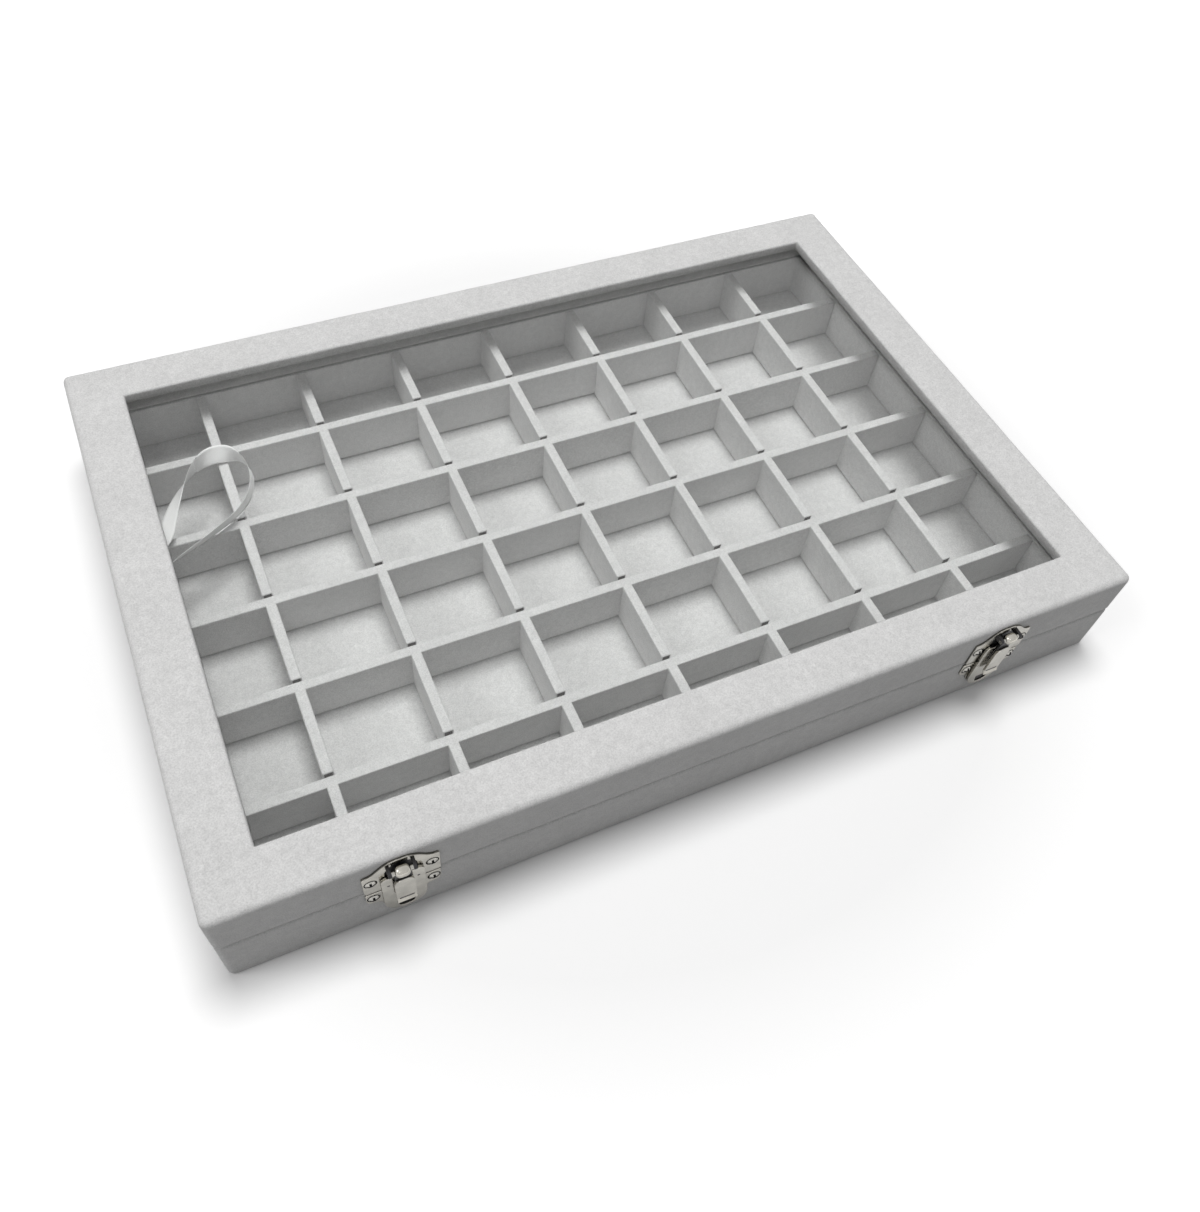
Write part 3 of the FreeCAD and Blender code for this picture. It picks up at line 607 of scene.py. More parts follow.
class Form:
    """A mesh in the making, in millimetres, shaped with mesh operators."""

    def __init__(self) -> None:
        """Start with an empty mesh."""
        self.mesh = bmesh.new()

    def ring(self, half: Span, level: float, corner: float, cuts: tuple[int, int]) -> list[BMEdge]:
        """Lay a level rounded rectangle as a ring of edges.

        Args:
            half: Half widths along X and Y.
            level: Height.
            corner: Corner radius.
            cuts: Cuts in the sides along X and along Y.

        Returns:
            The ring's edges.
        """
        known_edges = set(self.mesh.edges)
        known_faces = set(self.mesh.faces)
        corners = bmesh.ops.create_grid(self.mesh, x_segments=1, y_segments=1, size=1.0)["verts"]
        bmesh.ops.scale(self.mesh, vec=(*half, 1.0), verts=corners)
        bmesh.ops.translate(self.mesh, vec=(0.0, 0.0, level), verts=corners)
        self.round_corners(corners, corner, CORNER_STEPS)
        self.open_faces(known_faces)
        for axis, count in enumerate(cuts):
            ring = [edge for edge in self.mesh.edges if edge not in known_edges]
            sides = [edge for edge in ring if self.runs_along(edge, axis)]
            bmesh.ops.subdivide_edges(self.mesh, edges=sides, cuts=count)
        return [edge for edge in self.mesh.edges if edge not in known_edges]

    def open_faces(self, known: set[BMFace]) -> None:
        """Delete the faces that are not known yet, and keep their edges."""
        made = [face for face in self.mesh.faces if face not in known]
        bmesh.ops.delete(self.mesh, geom=made, context="FACES_ONLY")

    @staticmethod
    def runs_along(edge: BMEdge, axis: int) -> bool:
        """Say whether an edge lies along one axis."""
        span = edge.verts[1].co - edge.verts[0].co
        return abs(span[axis]) > STRAIGHT_SHARE * span.length

    def round_corners(self, corners: Iterable[BMVert], radius: float, steps: int) -> None:
        """Round corners of a flat outline."""
        bmesh.ops.bevel(
            self.mesh, geom=list(corners), offset=radius, offset_type="OFFSET", segments=steps,
            profile=0.5, affect="VERTICES", material=-1,
        )

    def round_edges(self, edges: Iterable[BMEdge], radius: float, steps: int = 3) -> None:
        """Round edges of a solid."""
        bmesh.ops.bevel(
            self.mesh, geom=list(edges), offset=radius, offset_type="OFFSET", segments=steps,
            profile=0.5, affect="EDGES", clamp_overlap=True, material=-1,
        )

    def bridge(self, first: list[BMEdge], second: list[BMEdge], cuts: int = 0) -> None:
        """Join two rings with a band of faces.

        Args:
            first: Edges of one ring.
            second: Edges of the other.
            cuts: Rings cut into the band.
        """
        band = bmesh.ops.bridge_loops(self.mesh, edges=first + second)
        if cuts:
            bmesh.ops.subdivide_edges(self.mesh, edges=band["edges"], cuts=cuts, use_grid_fill=True)

    def sharp_edges(self, angle: float = SEAM_ANGLE) -> list[BMEdge]:
        """Find edges that turn by more than an angle in degrees.

        Args:
            angle: Least angle between the two faces.

        Returns:
            The edges.
        """
        limit = math.radians(angle)
        bmesh.ops.recalc_face_normals(self.mesh, faces=self.mesh.faces)
        return [
            edge for edge in self.mesh.edges
            if len(edge.link_faces) == 2 and edge.calc_face_angle(0.0) > limit
        ]

    def edges_at(self, axis: int, level: float) -> list[BMEdge]:
        """Find the edges that lie in a plane across one axis.

        Args:
            axis: Number of the axis.
            level: Place of the plane on it.

        Returns:
            The edges.
        """
        return [
            edge for edge in self.mesh.edges
            if all(abs(vert.co[axis] - level) < CLOSE for vert in edge.verts)
        ]

    def thicken(self, faces: list[BMFace], offset: Vector) -> None:
        """Raise flat faces to a solid.

        Args:
            faces: Faces to raise; they stay as the solid's other side.
            offset: Way and height.
        """
        raised = bmesh.ops.extrude_face_region(self.mesh, geom=faces, use_keep_orig=True)
        verts = [item for item in raised["geom"] if isinstance(item, BMVert)]
        bmesh.ops.translate(self.mesh, vec=offset, verts=verts)
        bmesh.ops.recalc_face_normals(self.mesh, faces=self.mesh.faces)

    def ripple(self, amount: float, wave: float, seed: float) -> None:
        """Move the surface in and out a little, as hand-laid fabric lies.

        Args:
            amount: Largest move.
            wave: Length of a wave.
            seed: Shift of the pattern.
        """
        bmesh.ops.recalc_face_normals(self.mesh, faces=self.mesh.faces)
        self.mesh.normal_update()
        moves = [
            vert.normal * amount * noise.noise(vert.co / wave + Vector((seed, seed, seed)))
            for vert in self.mesh.verts
        ]
        for vert, move in zip(self.mesh.verts, moves):
            vert.co += move

    def outline(self, corners: Outline, level: float) -> list[BMEdge]:
        """Lay an upright outline with rounded corners as a ring of edges.

        Args:
            corners: X, Z and corner radius of each corner, in order.
            level: Y of the outline.

        Returns:
            The ring's edges.
        """
        known_edges = set(self.mesh.edges)
        known_faces = set(self.mesh.faces)
        verts = [self.mesh.verts.new((x, level, z)) for x, z, _ in corners]
        self.mesh.faces.new(verts)
        for vert, (_, _, radius) in zip(verts, corners):
            self.round_corners([vert], radius, CORNER_STEPS)
        self.open_faces(known_faces)
        return [edge for edge in self.mesh.edges if edge not in known_edges]

    def plate(
        self, corners: Outline, back: float, thickness: float, edge: float, opening: Outline = ()
    ) -> None:
        """Raise an upright plate from an outline, towards -Y.

        Args:
            corners: X, Z and corner radius of each corner, in order.
            back: Y of the plate's back.
            thickness: Thickness of the plate.
            edge: Radius of the front edge.
            opening: Corners of a hole in the plate.
        """
        known_edges = set(self.mesh.edges)
        known_faces = set(self.mesh.faces)
        rings = self.outline(corners, back)
        if opening:
            rings += self.outline(opening, back)
            bmesh.ops.triangle_fill(self.mesh, edges=rings, use_beauty=True, use_dissolve=False)
        else:
            bmesh.ops.edgeloop_fill(self.mesh, edges=rings)
        flat = [face for face in self.mesh.faces if face not in known_faces]
        self.thicken(flat, Vector((0.0, -thickness, 0.0)))
        front = set(self.edges_at(1, back - thickness)) - known_edges
        self.round_edges([found for found in self.sharp_edges(RIM_ANGLE) if found in front], edge)

    def barrel(self, centre: Vector, radius: float, length: float, end_edge: float) -> None:
        """Add a round barrel along X with rounded ends.

        Args:
            centre: Middle of the barrel.
            radius: Radius.
            length: Length along X.
            end_edge: Radius of the end edges.
        """
        turn = Matrix.Translation(centre) @ Matrix.Rotation(QUARTER_TURN, 4, "Y")
        made = bmesh.ops.create_cone(
            self.mesh, cap_ends=True, segments=BARREL_SIDES, radius1=radius, radius2=radius,
            depth=length, matrix=turn,
        )
        sides = {edge for vert in made["verts"] for edge in vert.link_edges}
        ends = [edge for edge in sides if abs(edge.verts[0].co.x - edge.verts[1].co.x) < CLOSE]
        self.round_edges(ends, end_edge, BARREL_END_STEPS)

    def move(self, offset: Triple) -> None:
        """Shift the whole mesh."""
        bmesh.ops.translate(self.mesh, vec=offset, verts=self.mesh.verts)

    def to_object(self, name: str) -> Piece:
        """Turn the mesh into an object in metres, at the origin.

        Args:
            name: Name of the piece.

        Returns:
            The object.
        """
        bmesh.ops.scale(self.mesh, vec=(MM, MM, MM), verts=self.mesh.verts)
        for face in self.mesh.faces:
            face.smooth = True
        data = bpy.data.meshes.new(name)
        self.mesh.to_mesh(data)
        self.mesh.free()
        piece = bpy.data.objects.new(name, data)
        bpy.context.scene.collection.objects.link(piece)
        return piece


@dataclass(frozen=True)
class ScrewMark:
    """Painted shade round a screw's head and on the floor of its cross recess, as near black sheets, in
    millimetres.
    """

    head: float = 0.82
    seat_radius: float = 2.2
    seat: float = 0.1
    seat_sides: int = 32
    recess_length: float = 2.7
    recess_width: float = 0.78
    recess_depth: float = 0.45
    floor: float = 0.2

    def add(self, form: Form, screw: str, facing: int) -> None:
        """Add the painted shade of one screw.

        Args:
            form: Shape that they are added to.
            screw: Node of the screw.
            facing: Sign of the head's way along Y.
        """
        low, high = (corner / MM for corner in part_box(screw))
        middle = (low + high) / 2
        crown = high.y if facing > 0 else low.y
        seat = Matrix.Translation((middle.x, crown - facing * self.head, middle.z))
        bmesh.ops.create_cone(
            form.mesh, cap_ends=True, segments=self.seat_sides, radius1=self.seat_radius,
            radius2=self.seat_radius, depth=self.seat,
            matrix=seat @ Matrix.Rotation(QUARTER_TURN, 4, "X"),
        )
        floor = Matrix.Translation((middle.x, crown - facing * self.recess_depth, middle.z))
        arms = ((self.recess_length, self.recess_width), (self.recess_width, self.recess_length))
        for across, up in arms:
            arm = Matrix.Diagonal((across, self.floor, up, 1.0))
            bmesh.ops.create_cube(form.mesh, size=1.0, matrix=floor @ arm)


class Assembly:
    """A group of pieces that is built and dressed together."""

    def build(self) -> list[Piece]:
        """Build and dress the pieces, and return them."""
        raise NotImplementedError

    @staticmethod
    def place(piece: Piece, body: Body, finish: Finish, *nodes: str) -> Piece:
        """Give a new piece its finish, its body and the nodes it stands for.

        Args:
            piece: Finished object.
            body: Body it rides on.
            finish: Its finish.
            nodes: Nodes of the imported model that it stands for.

        Returns:
            The piece.
        """
        piece.data.materials.append(finish.material())
        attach(piece, body.value)
        if nodes:
            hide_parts(*nodes)
        return piece

    @staticmethod
    def dress(finish: Finish, names: Iterable[str]) -> None:
        """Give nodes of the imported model, which stay as they are, a finish.

        Args:
            finish: The finish.
            names: Names of the nodes.
        """
        for name in names:
            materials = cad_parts[name].data.materials
            materials.clear()
            materials.append(finish.material())

    def screw_marks(self, name: str, body: Body, screws: Iterable[str], facing: int) -> Piece:
        """Build the painted shade of several screws as one piece.

        Args:
            name: Name of the piece.
            body: Body it rides on.
            screws: Nodes of the screws.
            facing: Sign of the heads' way along Y.

        Returns:
            The piece.
        """
        form = Form()
        for screw in screws:
            ScrewMark().add(form, screw, facing)
        piece = form.to_object(name)
        self.even_shading(piece)
        # Near black painted shade round the screw heads and in their recesses.
        return self.place(piece, body, Hollow())

    @staticmethod
    def line(piece: Piece, thickness: float) -> None:
        """Give an open shell its thickness, inwards.

        Args:
            piece: The shell.
            thickness: Thickness in millimetres.
        """
        wall = piece.modifiers.new("thickness", "SOLIDIFY")
        wall.thickness = thickness * MM
        wall.offset = -1.0
        wall.use_even_offset = True

    @staticmethod
    def even_shading(piece: Piece) -> None:
        """Keep flat faces flat next to rounded edges."""
        normals = piece.modifiers.new("even_shading", "WEIGHTED_NORMAL")
        normals.keep_sharp = True


@dataclass(frozen=True)
class Fold:
    """Ring of edges in a velvet skin, in millimetres, with the cuts of the band that leads to it."""

    half: Span
    level: float
    corner: float
    cuts: int = 0
    edge: float = 0.0
    steps: int = 3


@dataclass
class Shell(Assembly):
    """Sizes of the case that tray and lid share, in millimetres."""

    half_x: float = 175.0
    half_y: float = 120.0
    corner: float = 2.6
    wall: float = 6.0
    lining: float = 1.6
    fabric: float = 0.8
    cuts: tuple[int, int] = (56, 38)
    ripple_amount: float = 0.11
    ripple_wave: float = 21.0
    lining_corner: float = 1.3
    lining_edge: float = 0.6
    lining_foot_edge: float = 0.4
    lining_seed: float = 3.7
    tight_corner: float = 0.5
    mouth_edge: float = 0.5
    rim_edge: float = 1.2

    def inset(self, along_x: float, along_y: float) -> Span:
        """Give half widths that lie inside the case's outline."""
        return (self.half_x - along_x, self.half_y - along_y)

    def skin(self, folds: Sequence[Fold], seed: float, closed: bool = False) -> Form:
        """Join rings of edges to a velvet skin, round its edges and let it lie unevenly.

        Args:
            folds: The rings, in order.
            seed: Shift of the unevenness.
            closed: Whether the last ring joins the first.

        Returns:
            The shape.
        """
        form = Form()
        rings = [form.ring(fold.half, fold.level, fold.corner, self.cuts) for fold in folds]
        for fold, (before, ring) in zip(folds[1:], pairwise(rings)):
            form.bridge(before, ring, fold.cuts)
        if closed:
            form.bridge(rings[-1], rings[0])
        for fold, ring in zip(folds, rings):
            if fold.edge:
                form.round_edges(ring, fold.edge, fold.steps)
        form.ripple(self.ripple_amount, self.ripple_wave, seed)
        return form

    def lining_strip(self, name: str, body: Body, low: float, high: float) -> Piece:
        """Build the velvet strip that lines the inside of the four walls.

        Args:
            name: Node that it stands for.
            body: Body it rides on.
            low: Lower edge.
            high: Upper edge.

        Returns:
            The piece.
        """
        outer = self.inset(self.wall, self.wall)
        inner = self.inset(self.wall + self.lining, self.wall + self.lining)
        form = self.skin([
            Fold(outer, low, self.tight_corner),
            Fold(outer, high, self.tight_corner),
            Fold(inner, high, self.lining_corner, edge=self.lining_edge),
            Fold(inner, low, self.lining_corner, cuts=3, edge=self.lining_foot_edge, steps=2),
        ], self.lining_seed, closed=True)
        return self.place(form.to_object(f"{name}_soft"), body, Velvet(), name)


@dataclass
class Tray(Shell):
    """Base of the case: wrapped walls, lining, floor, underside and boards."""

    rim: float = 24.5
    lip: float = 23.6
    turn_under: float = 3.6
    foot: float = 0.05
    foot_edge: float = 0.8
    wrap_seed: float = 0.4
    lining_low: float = 4.0
    lining_high: float = 24.0
    floor_cells: tuple[int, int] = (90, 60)
    floor_ripple: float = 0.05
    floor_wave: float = 14.0
    floor_seed: float = 8.1
    cloth_corner: float = 2.0
    cloth_cuts: tuple[int, int] = (40, 28)
    cloth_edge: float = 0.2

    def build(self) -> list[Piece]:
        """Build the tray.

        Returns:
            The new pieces.
        """
        self.dress(Fibreboard(), ["base_bottom_board", *(f"base_{side}_board" for side in BOARD_SIDES)])
        return [
            self.wrap(),
            self.lining_strip("base_wall_lining", Body.BASE, self.lining_low, self.lining_high),
            self.floor(),
            self.underside(),
        ]

    def wrap(self) -> Piece:
        """Build the velvet drawn round the outside and over the rim.

        Returns:
            The piece.
        """
        under = self.inset(self.turn_under, self.turn_under)
        outside = self.inset(0.0, 0.0)
        inside = self.inset(self.wall, self.wall)
        form = self.skin([
            Fold(under, self.foot, self.tight_corner),
            Fold(outside, self.foot, self.corner, edge=self.foot_edge),
            Fold(outside, self.rim, self.corner, cuts=5, edge=self.rim_edge, steps=4),
            Fold(inside, self.rim, self.tight_corner, cuts=1, edge=self.mouth_edge),
            Fold(inside, self.lip, self.tight_corner),
        ], self.wrap_seed)
        piece = form.to_object("base_velvet_wrap_soft")
        self.line(piece, self.fabric)
        return self.place(piece, Body.BASE, Velvet(), "base_velvet_wrap")

    def floor(self) -> Piece:
        """Build the velvet-covered floor under the dividers.

        Returns:
            The piece.
        """
        low, high = (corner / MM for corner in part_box("base_floor_sheet"))
        form = Form()
        along_x, along_y = self.floor_cells
        bmesh.ops.create_grid(form.mesh, x_segments=along_x, y_segments=along_y, size=1.0)
        bmesh.ops.scale(form.mesh, vec=(high.x, high.y, 1.0), verts=form.mesh.verts)
        form.move((0.0, 0.0, high.z))
        form.ripple(self.floor_ripple, self.floor_wave, self.floor_seed)
        form.thicken(list(form.mesh.faces), Vector((0.0, 0.0, low.z - high.z)))
        return self.place(form.to_object("base_floor_soft"), Body.BASE, Velvet(), "base_floor_sheet")

    def underside(self) -> Piece:
        """Build the cloth pasted under the base.

        Returns:
            The piece.
        """
        low, high = (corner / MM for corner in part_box("base_underside_cover"))
        form = Form()
        ring = form.ring((high.x, high.y), high.z, self.cloth_corner, self.cloth_cuts)
        bmesh.ops.edgeloop_fill(form.mesh, edges=ring)
        form.thicken(list(form.mesh.faces), Vector((0.0, 0.0, low.z - high.z)))
        form.round_edges(form.edges_at(2, low.z), self.cloth_edge, 2)
        piece = form.to_object("base_underside_cloth")
        self.even_shading(piece)
        return self.place(piece, Body.BASE, UndersideCloth(), "base_underside_cover")


@dataclass
class Lid(Shell):
    """Lid of the case: wrapped window frame, lining, glass and boards."""

    bottom: float = 24.9
    tuck: float = 25.8
    top: float = 45.0
    reveal: float = 41.05
    frame_side: float = 20.4
    frame_front: float = 18.9
    top_edge: float = 2.4
    window_edge: float = 0.9
    wrap_seed: float = 5.9
    lining_low: float = 25.4
    lining_high: float = 39.0

    def build(self) -> list[Piece]:
        """Build the lid.

        Returns:
            The new pieces.
        """
        self.dress(Fibreboard(), ["window_frame_board", *(f"lid_{side}_board" for side in BOARD_SIDES)])
        self.dress(ClearGlass(), ["glass_pane"])
        return [
            self.wrap(),
            self.lining_strip("lid_wall_lining", Body.LID, self.lining_low, self.lining_high),
        ]

    def wrap(self) -> Piece:
        """Build the velvet drawn over the walls, the top and the window's edge.

        Returns:
            The piece.
        """
        inside = self.inset(self.wall, self.wall)
        outside = self.inset(0.0, 0.0)
        window = self.inset(self.frame_side, self.frame_front)
        form = self.skin([
            Fold(inside, self.tuck, self.tight_corner),
            Fold(inside, self.bottom, self.tight_corner, edge=self.mouth_edge),
            Fold(outside, self.bottom, self.corner, cuts=1, edge=self.rim_edge, steps=4),
            Fold(outside, self.top, self.corner, cuts=4, edge=self.top_edge, steps=5),
            Fold(window, self.top, self.tight_corner, cuts=4, edge=self.window_edge, steps=4),
            Fold(window, self.reveal, self.tight_corner, cuts=1),
        ], self.wrap_seed)
        piece = form.to_object("lid_velvet_wrap_soft")
        self.line(piece, self.fabric)
        return self.place(piece, Body.LID, Velvet(), "lid_velvet_wrap")


@dataclass
class Dividers(Assembly):
    """Slotted velvet boards that part the tray into compartments, in millimetres."""

    long_count: int = 5
    cross_count: int = 7
    lap_low: float = 13.8
    lap_high: float = 14.2
    bite: float = 0.6
    back_slack: float = 1.3
    edge: float = 0.5
    foot_lift: float = 0.7
    cell_span: float = 20.0
    cell_cuts: int = 5
    end_reach: float = 0.01
    ripple_amount: float = 0.07
    ripple_wave: float = 17.0

    def build(self) -> list[Piece]:
        """Build all dividers.

        Returns:
            The new pieces.
        """
        long_names = [f"long_divider_{number}" for number in range(1, self.long_count + 1)]
        cross_names = [f"cross_divider_{number}" for number in range(1, self.cross_count + 1)]
        return [
            *(self.divider(name, Run.LONG, self.notches(cross_names, Run.LONG)) for name in long_names),
            *(self.divider(name, Run.CROSS, self.notches(long_names, Run.CROSS)) for name in cross_names),
        ]

    def notches(self, names: Iterable[str], run: Run) -> list[Span]:
        """Find where the crossing dividers pass.

        Args:
            names: Nodes of the crossing dividers.
            run: Direction of the divider that gets the notches.

        Returns:
            Start and end of each notch along the divider.
        """
        axis = run.value
        slack = -self.bite if run is Run.LONG else self.back_slack
        boxes = [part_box(name) for name in names]
        return sorted((low[axis] / MM + self.bite, high[axis] / MM + slack) for low, high in boxes)

    def divider(self, name: str, run: Run, notches: list[Span]) -> Piece:
        """Build one divider as a comb.

        Args:
            name: Node that it stands for.
            run: Direction in which it runs.
            notches: Start and end of each notch.

        Returns:
            The piece.
        """
        low, high = (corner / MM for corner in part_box(name))
        axis = run.value
        lap = self.lap_high if run is Run.LONG else self.lap_low
        columns = [low[axis], *(value for notch in notches for value in notch), high[axis]]
        rows = [low.z + self.foot_lift, lap, high.z]
        form = self.comb(columns, rows, run)
        for vert in form.mesh.verts:
            along, up = columns[round(vert.co.x)], rows[round(vert.co.y)]
            vert.co = (along, low.y, up) if run is Run.LONG else (low.x, along, up)
        spans = [edge for edge in form.mesh.edges if edge.calc_length() > self.cell_span]
        bmesh.ops.subdivide_edges(form.mesh, edges=spans, cuts=self.cell_cuts, use_grid_fill=True)
        across = Vector((0.0, 0.0, 0.0))
        across[1 - axis] = high[1 - axis] - low[1 - axis]
        form.thicken(list(form.mesh.faces), across)
        form.round_edges(form.sharp_edges(), self.edge)
        # Faces at the back end of each notch take the second material, which on cross dividers is painted
        # shade of the gap.
        for face in form.mesh.faces:
            place = face.calc_center_median()[axis]
            notch_shade = any((start + end) / 2 < place < end + self.end_reach for start, end in notches)
            face.material_index = int(notch_shade)
        form.ripple(self.ripple_amount, self.ripple_wave, low[axis] + low[1 - axis])
        piece = form.to_object(f"{name}_soft")
        self.even_shading(piece)
        self.place(piece, Body.BASE, Velvet(), name)
        # Long dividers take velvet as their second material, cross dividers the painted notch shade.
        piece.data.materials.append(Velvet().material() if run is Run.LONG else CutEdge().material())
        return piece

    @staticmethod
    def comb(columns: Sequence[float], rows: Sequence[float], run: Run) -> Form:
        """Lay a flat grid with every other cell of one row cut out, counted in cells.

        Args:
            columns: Places of the grid's lines along the divider.
            rows: Heights of the grid's lines.
            run: Long dividers are cut in the lower row, cross dividers in the upper.

        Returns:
            The shape, whose X and Y are the numbers of column and row.
        """
        form = Form()
        cells = (len(columns) - 1, len(rows) - 1)
        bmesh.ops.create_grid(form.mesh, x_segments=cells[0], y_segments=cells[1], size=0.5)
        form.move((0.5, 0.5, 0.0))
        bmesh.ops.scale(form.mesh, vec=(*cells, 1.0), verts=form.mesh.verts)
        gaps = []
        for face in form.mesh.faces:
            middle = face.calc_center_median()
            if int(middle.x) % 2 == 1 and int(middle.y) == run.value:
                gaps.append(face)
        bmesh.ops.delete(form.mesh, geom=gaps, context="FACES")
        return form


@dataclass
class Latch(Assembly):
    """Snap latch on the front: lid plate with a yoke, lever, keeper with a nose, in millimetres.

    An outline is given by its right half: X, Z and radius of each corner.
    """

    side: Side
    inset_x: float = 116.0
    front: float = -120.0
    sheet: float = 0.8
    plate_outline: Outline = (
        (12.5, 25.2, 0.8), (12.5, 37.5, 0.7), (9.8, 37.6, 1.6), (5.0, 42.4, 2.2), (2.0, 43.1, 1.4)
    )
    plate_edge: float = 0.22
    mouth_outline: Outline = ((5.3, 30.0, 0.6), (5.3, 37.6, 1.4), (2.6, 41.2, 1.6))
    spring: float = 0.3
    crisp_edge: float = 0.05
    pin_y: float = -123.1
    pin_z: float = 39.7
    barrel_radius: float = 2.0
    barrel_length: float = 5.3
    barrel_end: float = 1.8
    lug_inside: float = 3.45
    lug: float = 1.2
    lug_radius: float = 1.1
    lug_round_share: float = 0.98
    lug_steps: int = 8
    lug_root: float = -120.2
    lug_edge: float = 0.2
    tongue_outline: Outline = ((3.3, 19.7, 0.5), (3.3, 32.3, 1.6), (1.4, 34.0, 1.2))
    tongue_back: float = -122.8
    tongue: float = 0.9
    tongue_edge: float = 0.3
    lip_half: float = 3.3
    lip_root: float = 20.2
    lip_steps: tuple[Span, ...] = ((0.0, -0.8), (-0.9, -1.6))
    lip: float = 0.65
    lip_edge: float = 0.2
    neck_outline: Outline = ((2.7, 31.0, 0.1), (2.7, 39.2, 0.1))
    neck_back: float = -122.25
    neck: float = 0.7
    neck_edge: float = 0.1
    crease_outline: Outline = ((2.5, 19.25, 0.3), (2.5, 20.15, 0.3))
    crease_back: float = -123.4
    crease: float = 0.33
    crease_edge: float = 0.03
    keeper_outline: Outline = (
        (12.5, 24.1, 0.8), (12.5, 17.1, 2.2), (7.7, 15.8, 0.8), (7.1, 11.7, 2.0), (2.0, 7.7, 1.8)
    )
    keeper_edge: float = 0.25
    block_outline: Outline = ((6.8, 23.9, 2.2), (6.8, 12.6, 2.6), (3.4, 8.0, 3.0))
    block_back: float = -120.8
    block: float = 0.4
    block_edge: float = 0.2
    nose_outline: Outline = ((7.1, 34.3, 2.2), (7.1, 12.3, 2.6), (3.55, 7.7, 3.0))
    nose_back: float = -121.1
    nose: float = 0.9
    nose_edge: float = 0.4
    grip_outline: Outline = ((3.3, 13.6, 0.5), (2.2, 8.9, 1.2))
    grip_floor: float = 0.2
    dimple_x: float = 4.9
    dimple_z: float = 28.8
    dimple_radii: Span = (0.55, 0.44)
    dimple: float = 0.06
    dimple_sides: int = 20

    def build(self) -> list[Piece]:
        """Build the latch.

        Returns:
            The new pieces.
        """
        name = self.side.name.lower()
        plate_screws, keeper_screws = (
            [f"latch_{part}_screw_{name}_{number}" for number in (1, 2)] for part in ("plate", "keeper")
        )
        self.dress(ScrewSteel(), [*plate_screws, *keeper_screws, f"latch_pin_{name}"])
        plate, lever, keeper = (f"latch_{part}_{name}" for part in ("plate", "lever", "keeper"))
        lever_body = Body[f"LEVER_{self.side.name}"]
        # Yoke, neck leaf and grip are near black: painted shade in the latch's mouth, crease and grip.
        return [
            self.hand_over(self.plate(), f"{plate}_plated", Body.LID, Nickel(), plate),
            self.hand_over(self.yoke(), f"latch_yoke_{name}", Body.LID, SpringSteel(), plate),
            self.hand_over(self.lever(), f"{lever}_plated", lever_body, Nickel(), lever),
            self.hand_over(self.neck_leaf(), f"latch_neck_{name}", lever_body, SpringSteel(), lever),
            self.hand_over(self.keeper(), f"{keeper}_plated", Body.BASE, Nickel(), keeper),
            self.hand_over(self.grip(), f"latch_grip_{name}", Body.BASE, SpringSteel(), keeper),
            self.screw_marks(f"latch_plate_screw_marks_{name}", Body.LID, plate_screws, -1),
            self.screw_marks(f"latch_keeper_screw_marks_{name}", Body.BASE, keeper_screws, -1),
        ]

    def hand_over(self, form: Form, name: str, body: Body, finish: Finish, node: str) -> Piece:
        """Move a finished shape to its side and dress it.

        Args:
            form: Shape built round X 0.
            name: Name of the piece.
            body: Body it rides on.
            finish: Its finish.
            node: Node that it stands for.

        Returns:
            The piece.
        """
        form.move((self.side.value * self.inset_x, 0.0, 0.0))
        piece = form.to_object(name)
        self.even_shading(piece)
        return self.place(piece, body, finish, node)

    @staticmethod
    def whole(right: Outline) -> list[Triple]:
        """Complete an outline from its right half, which runs from one end to the other."""
        return [*right, *((-x, z, radius) for x, z, radius in reversed(right))]

    def plate(self) -> Form:
        """Build the winged plate of the lid, with the arched mouth that the lever hangs in.

        Returns:
            The shape.
        """
        form = Form()
        mouth = self.whole(self.mouth_outline)
        form.plate(self.whole(self.plate_outline), self.front, self.sheet, self.plate_edge, mouth)
        return form

    def yoke(self) -> Form:
        """Build the leaf in the mouth and the two lugs that hold the lever's pin, in near black painted
        shade for the shaded mouth.

        Returns:
            The shape.
        """
        form = Form()
        form.plate(self.whole(self.mouth_outline), self.front, self.spring, self.crisp_edge)
        for sign in (-1, 1):
            self.add_lug(form, sign)
        return form

    def add_lug(self, form: Form, sign: int) -> None:
        """Add one lug of the yoke.

        Args:
            form: Shape of the yoke.
            sign: Side of the lever that the lug stands on.
        """
        known_faces = set(form.mesh.faces)
        known_edges = set(form.mesh.edges)
        tip = self.pin_y - self.lug_radius
        low = self.pin_z - self.lug_radius
        high = self.pin_z + self.lug_radius
        side_view = ((self.lug_root, low), (tip, low), (tip, high), (self.lug_root, high))
        corners = [form.mesh.verts.new((sign * self.lug_inside, y, z)) for y, z in side_view]
        form.mesh.faces.new(corners)
        form.round_corners(corners[1:3], self.lug_radius * self.lug_round_share, self.lug_steps)
        flat = [face for face in form.mesh.faces if face not in known_faces]
        form.thicken(flat, Vector((sign * self.lug, 0.0, 0.0)))
        added = [edge for edge in form.mesh.edges if edge not in known_edges]
        rims = [edge for edge in added if abs(edge.verts[0].co.x - edge.verts[1].co.x) < CLOSE]
        form.round_edges(rims, self.lug_edge)

    def lever(self) -> Form:
        """Build the bright part of the lever: round knuckle, arched tongue and flared lip.

        Returns:
            The shape.
        """
        form = Form()
        centre = Vector((0.0, self.pin_y, self.pin_z))
        form.barrel(centre, self.barrel_radius, self.barrel_length, self.barrel_end)
        form.plate(self.whole(self.tongue_outline), self.tongue_back, self.tongue, self.tongue_edge)
        self.add_lip(form)
        return form

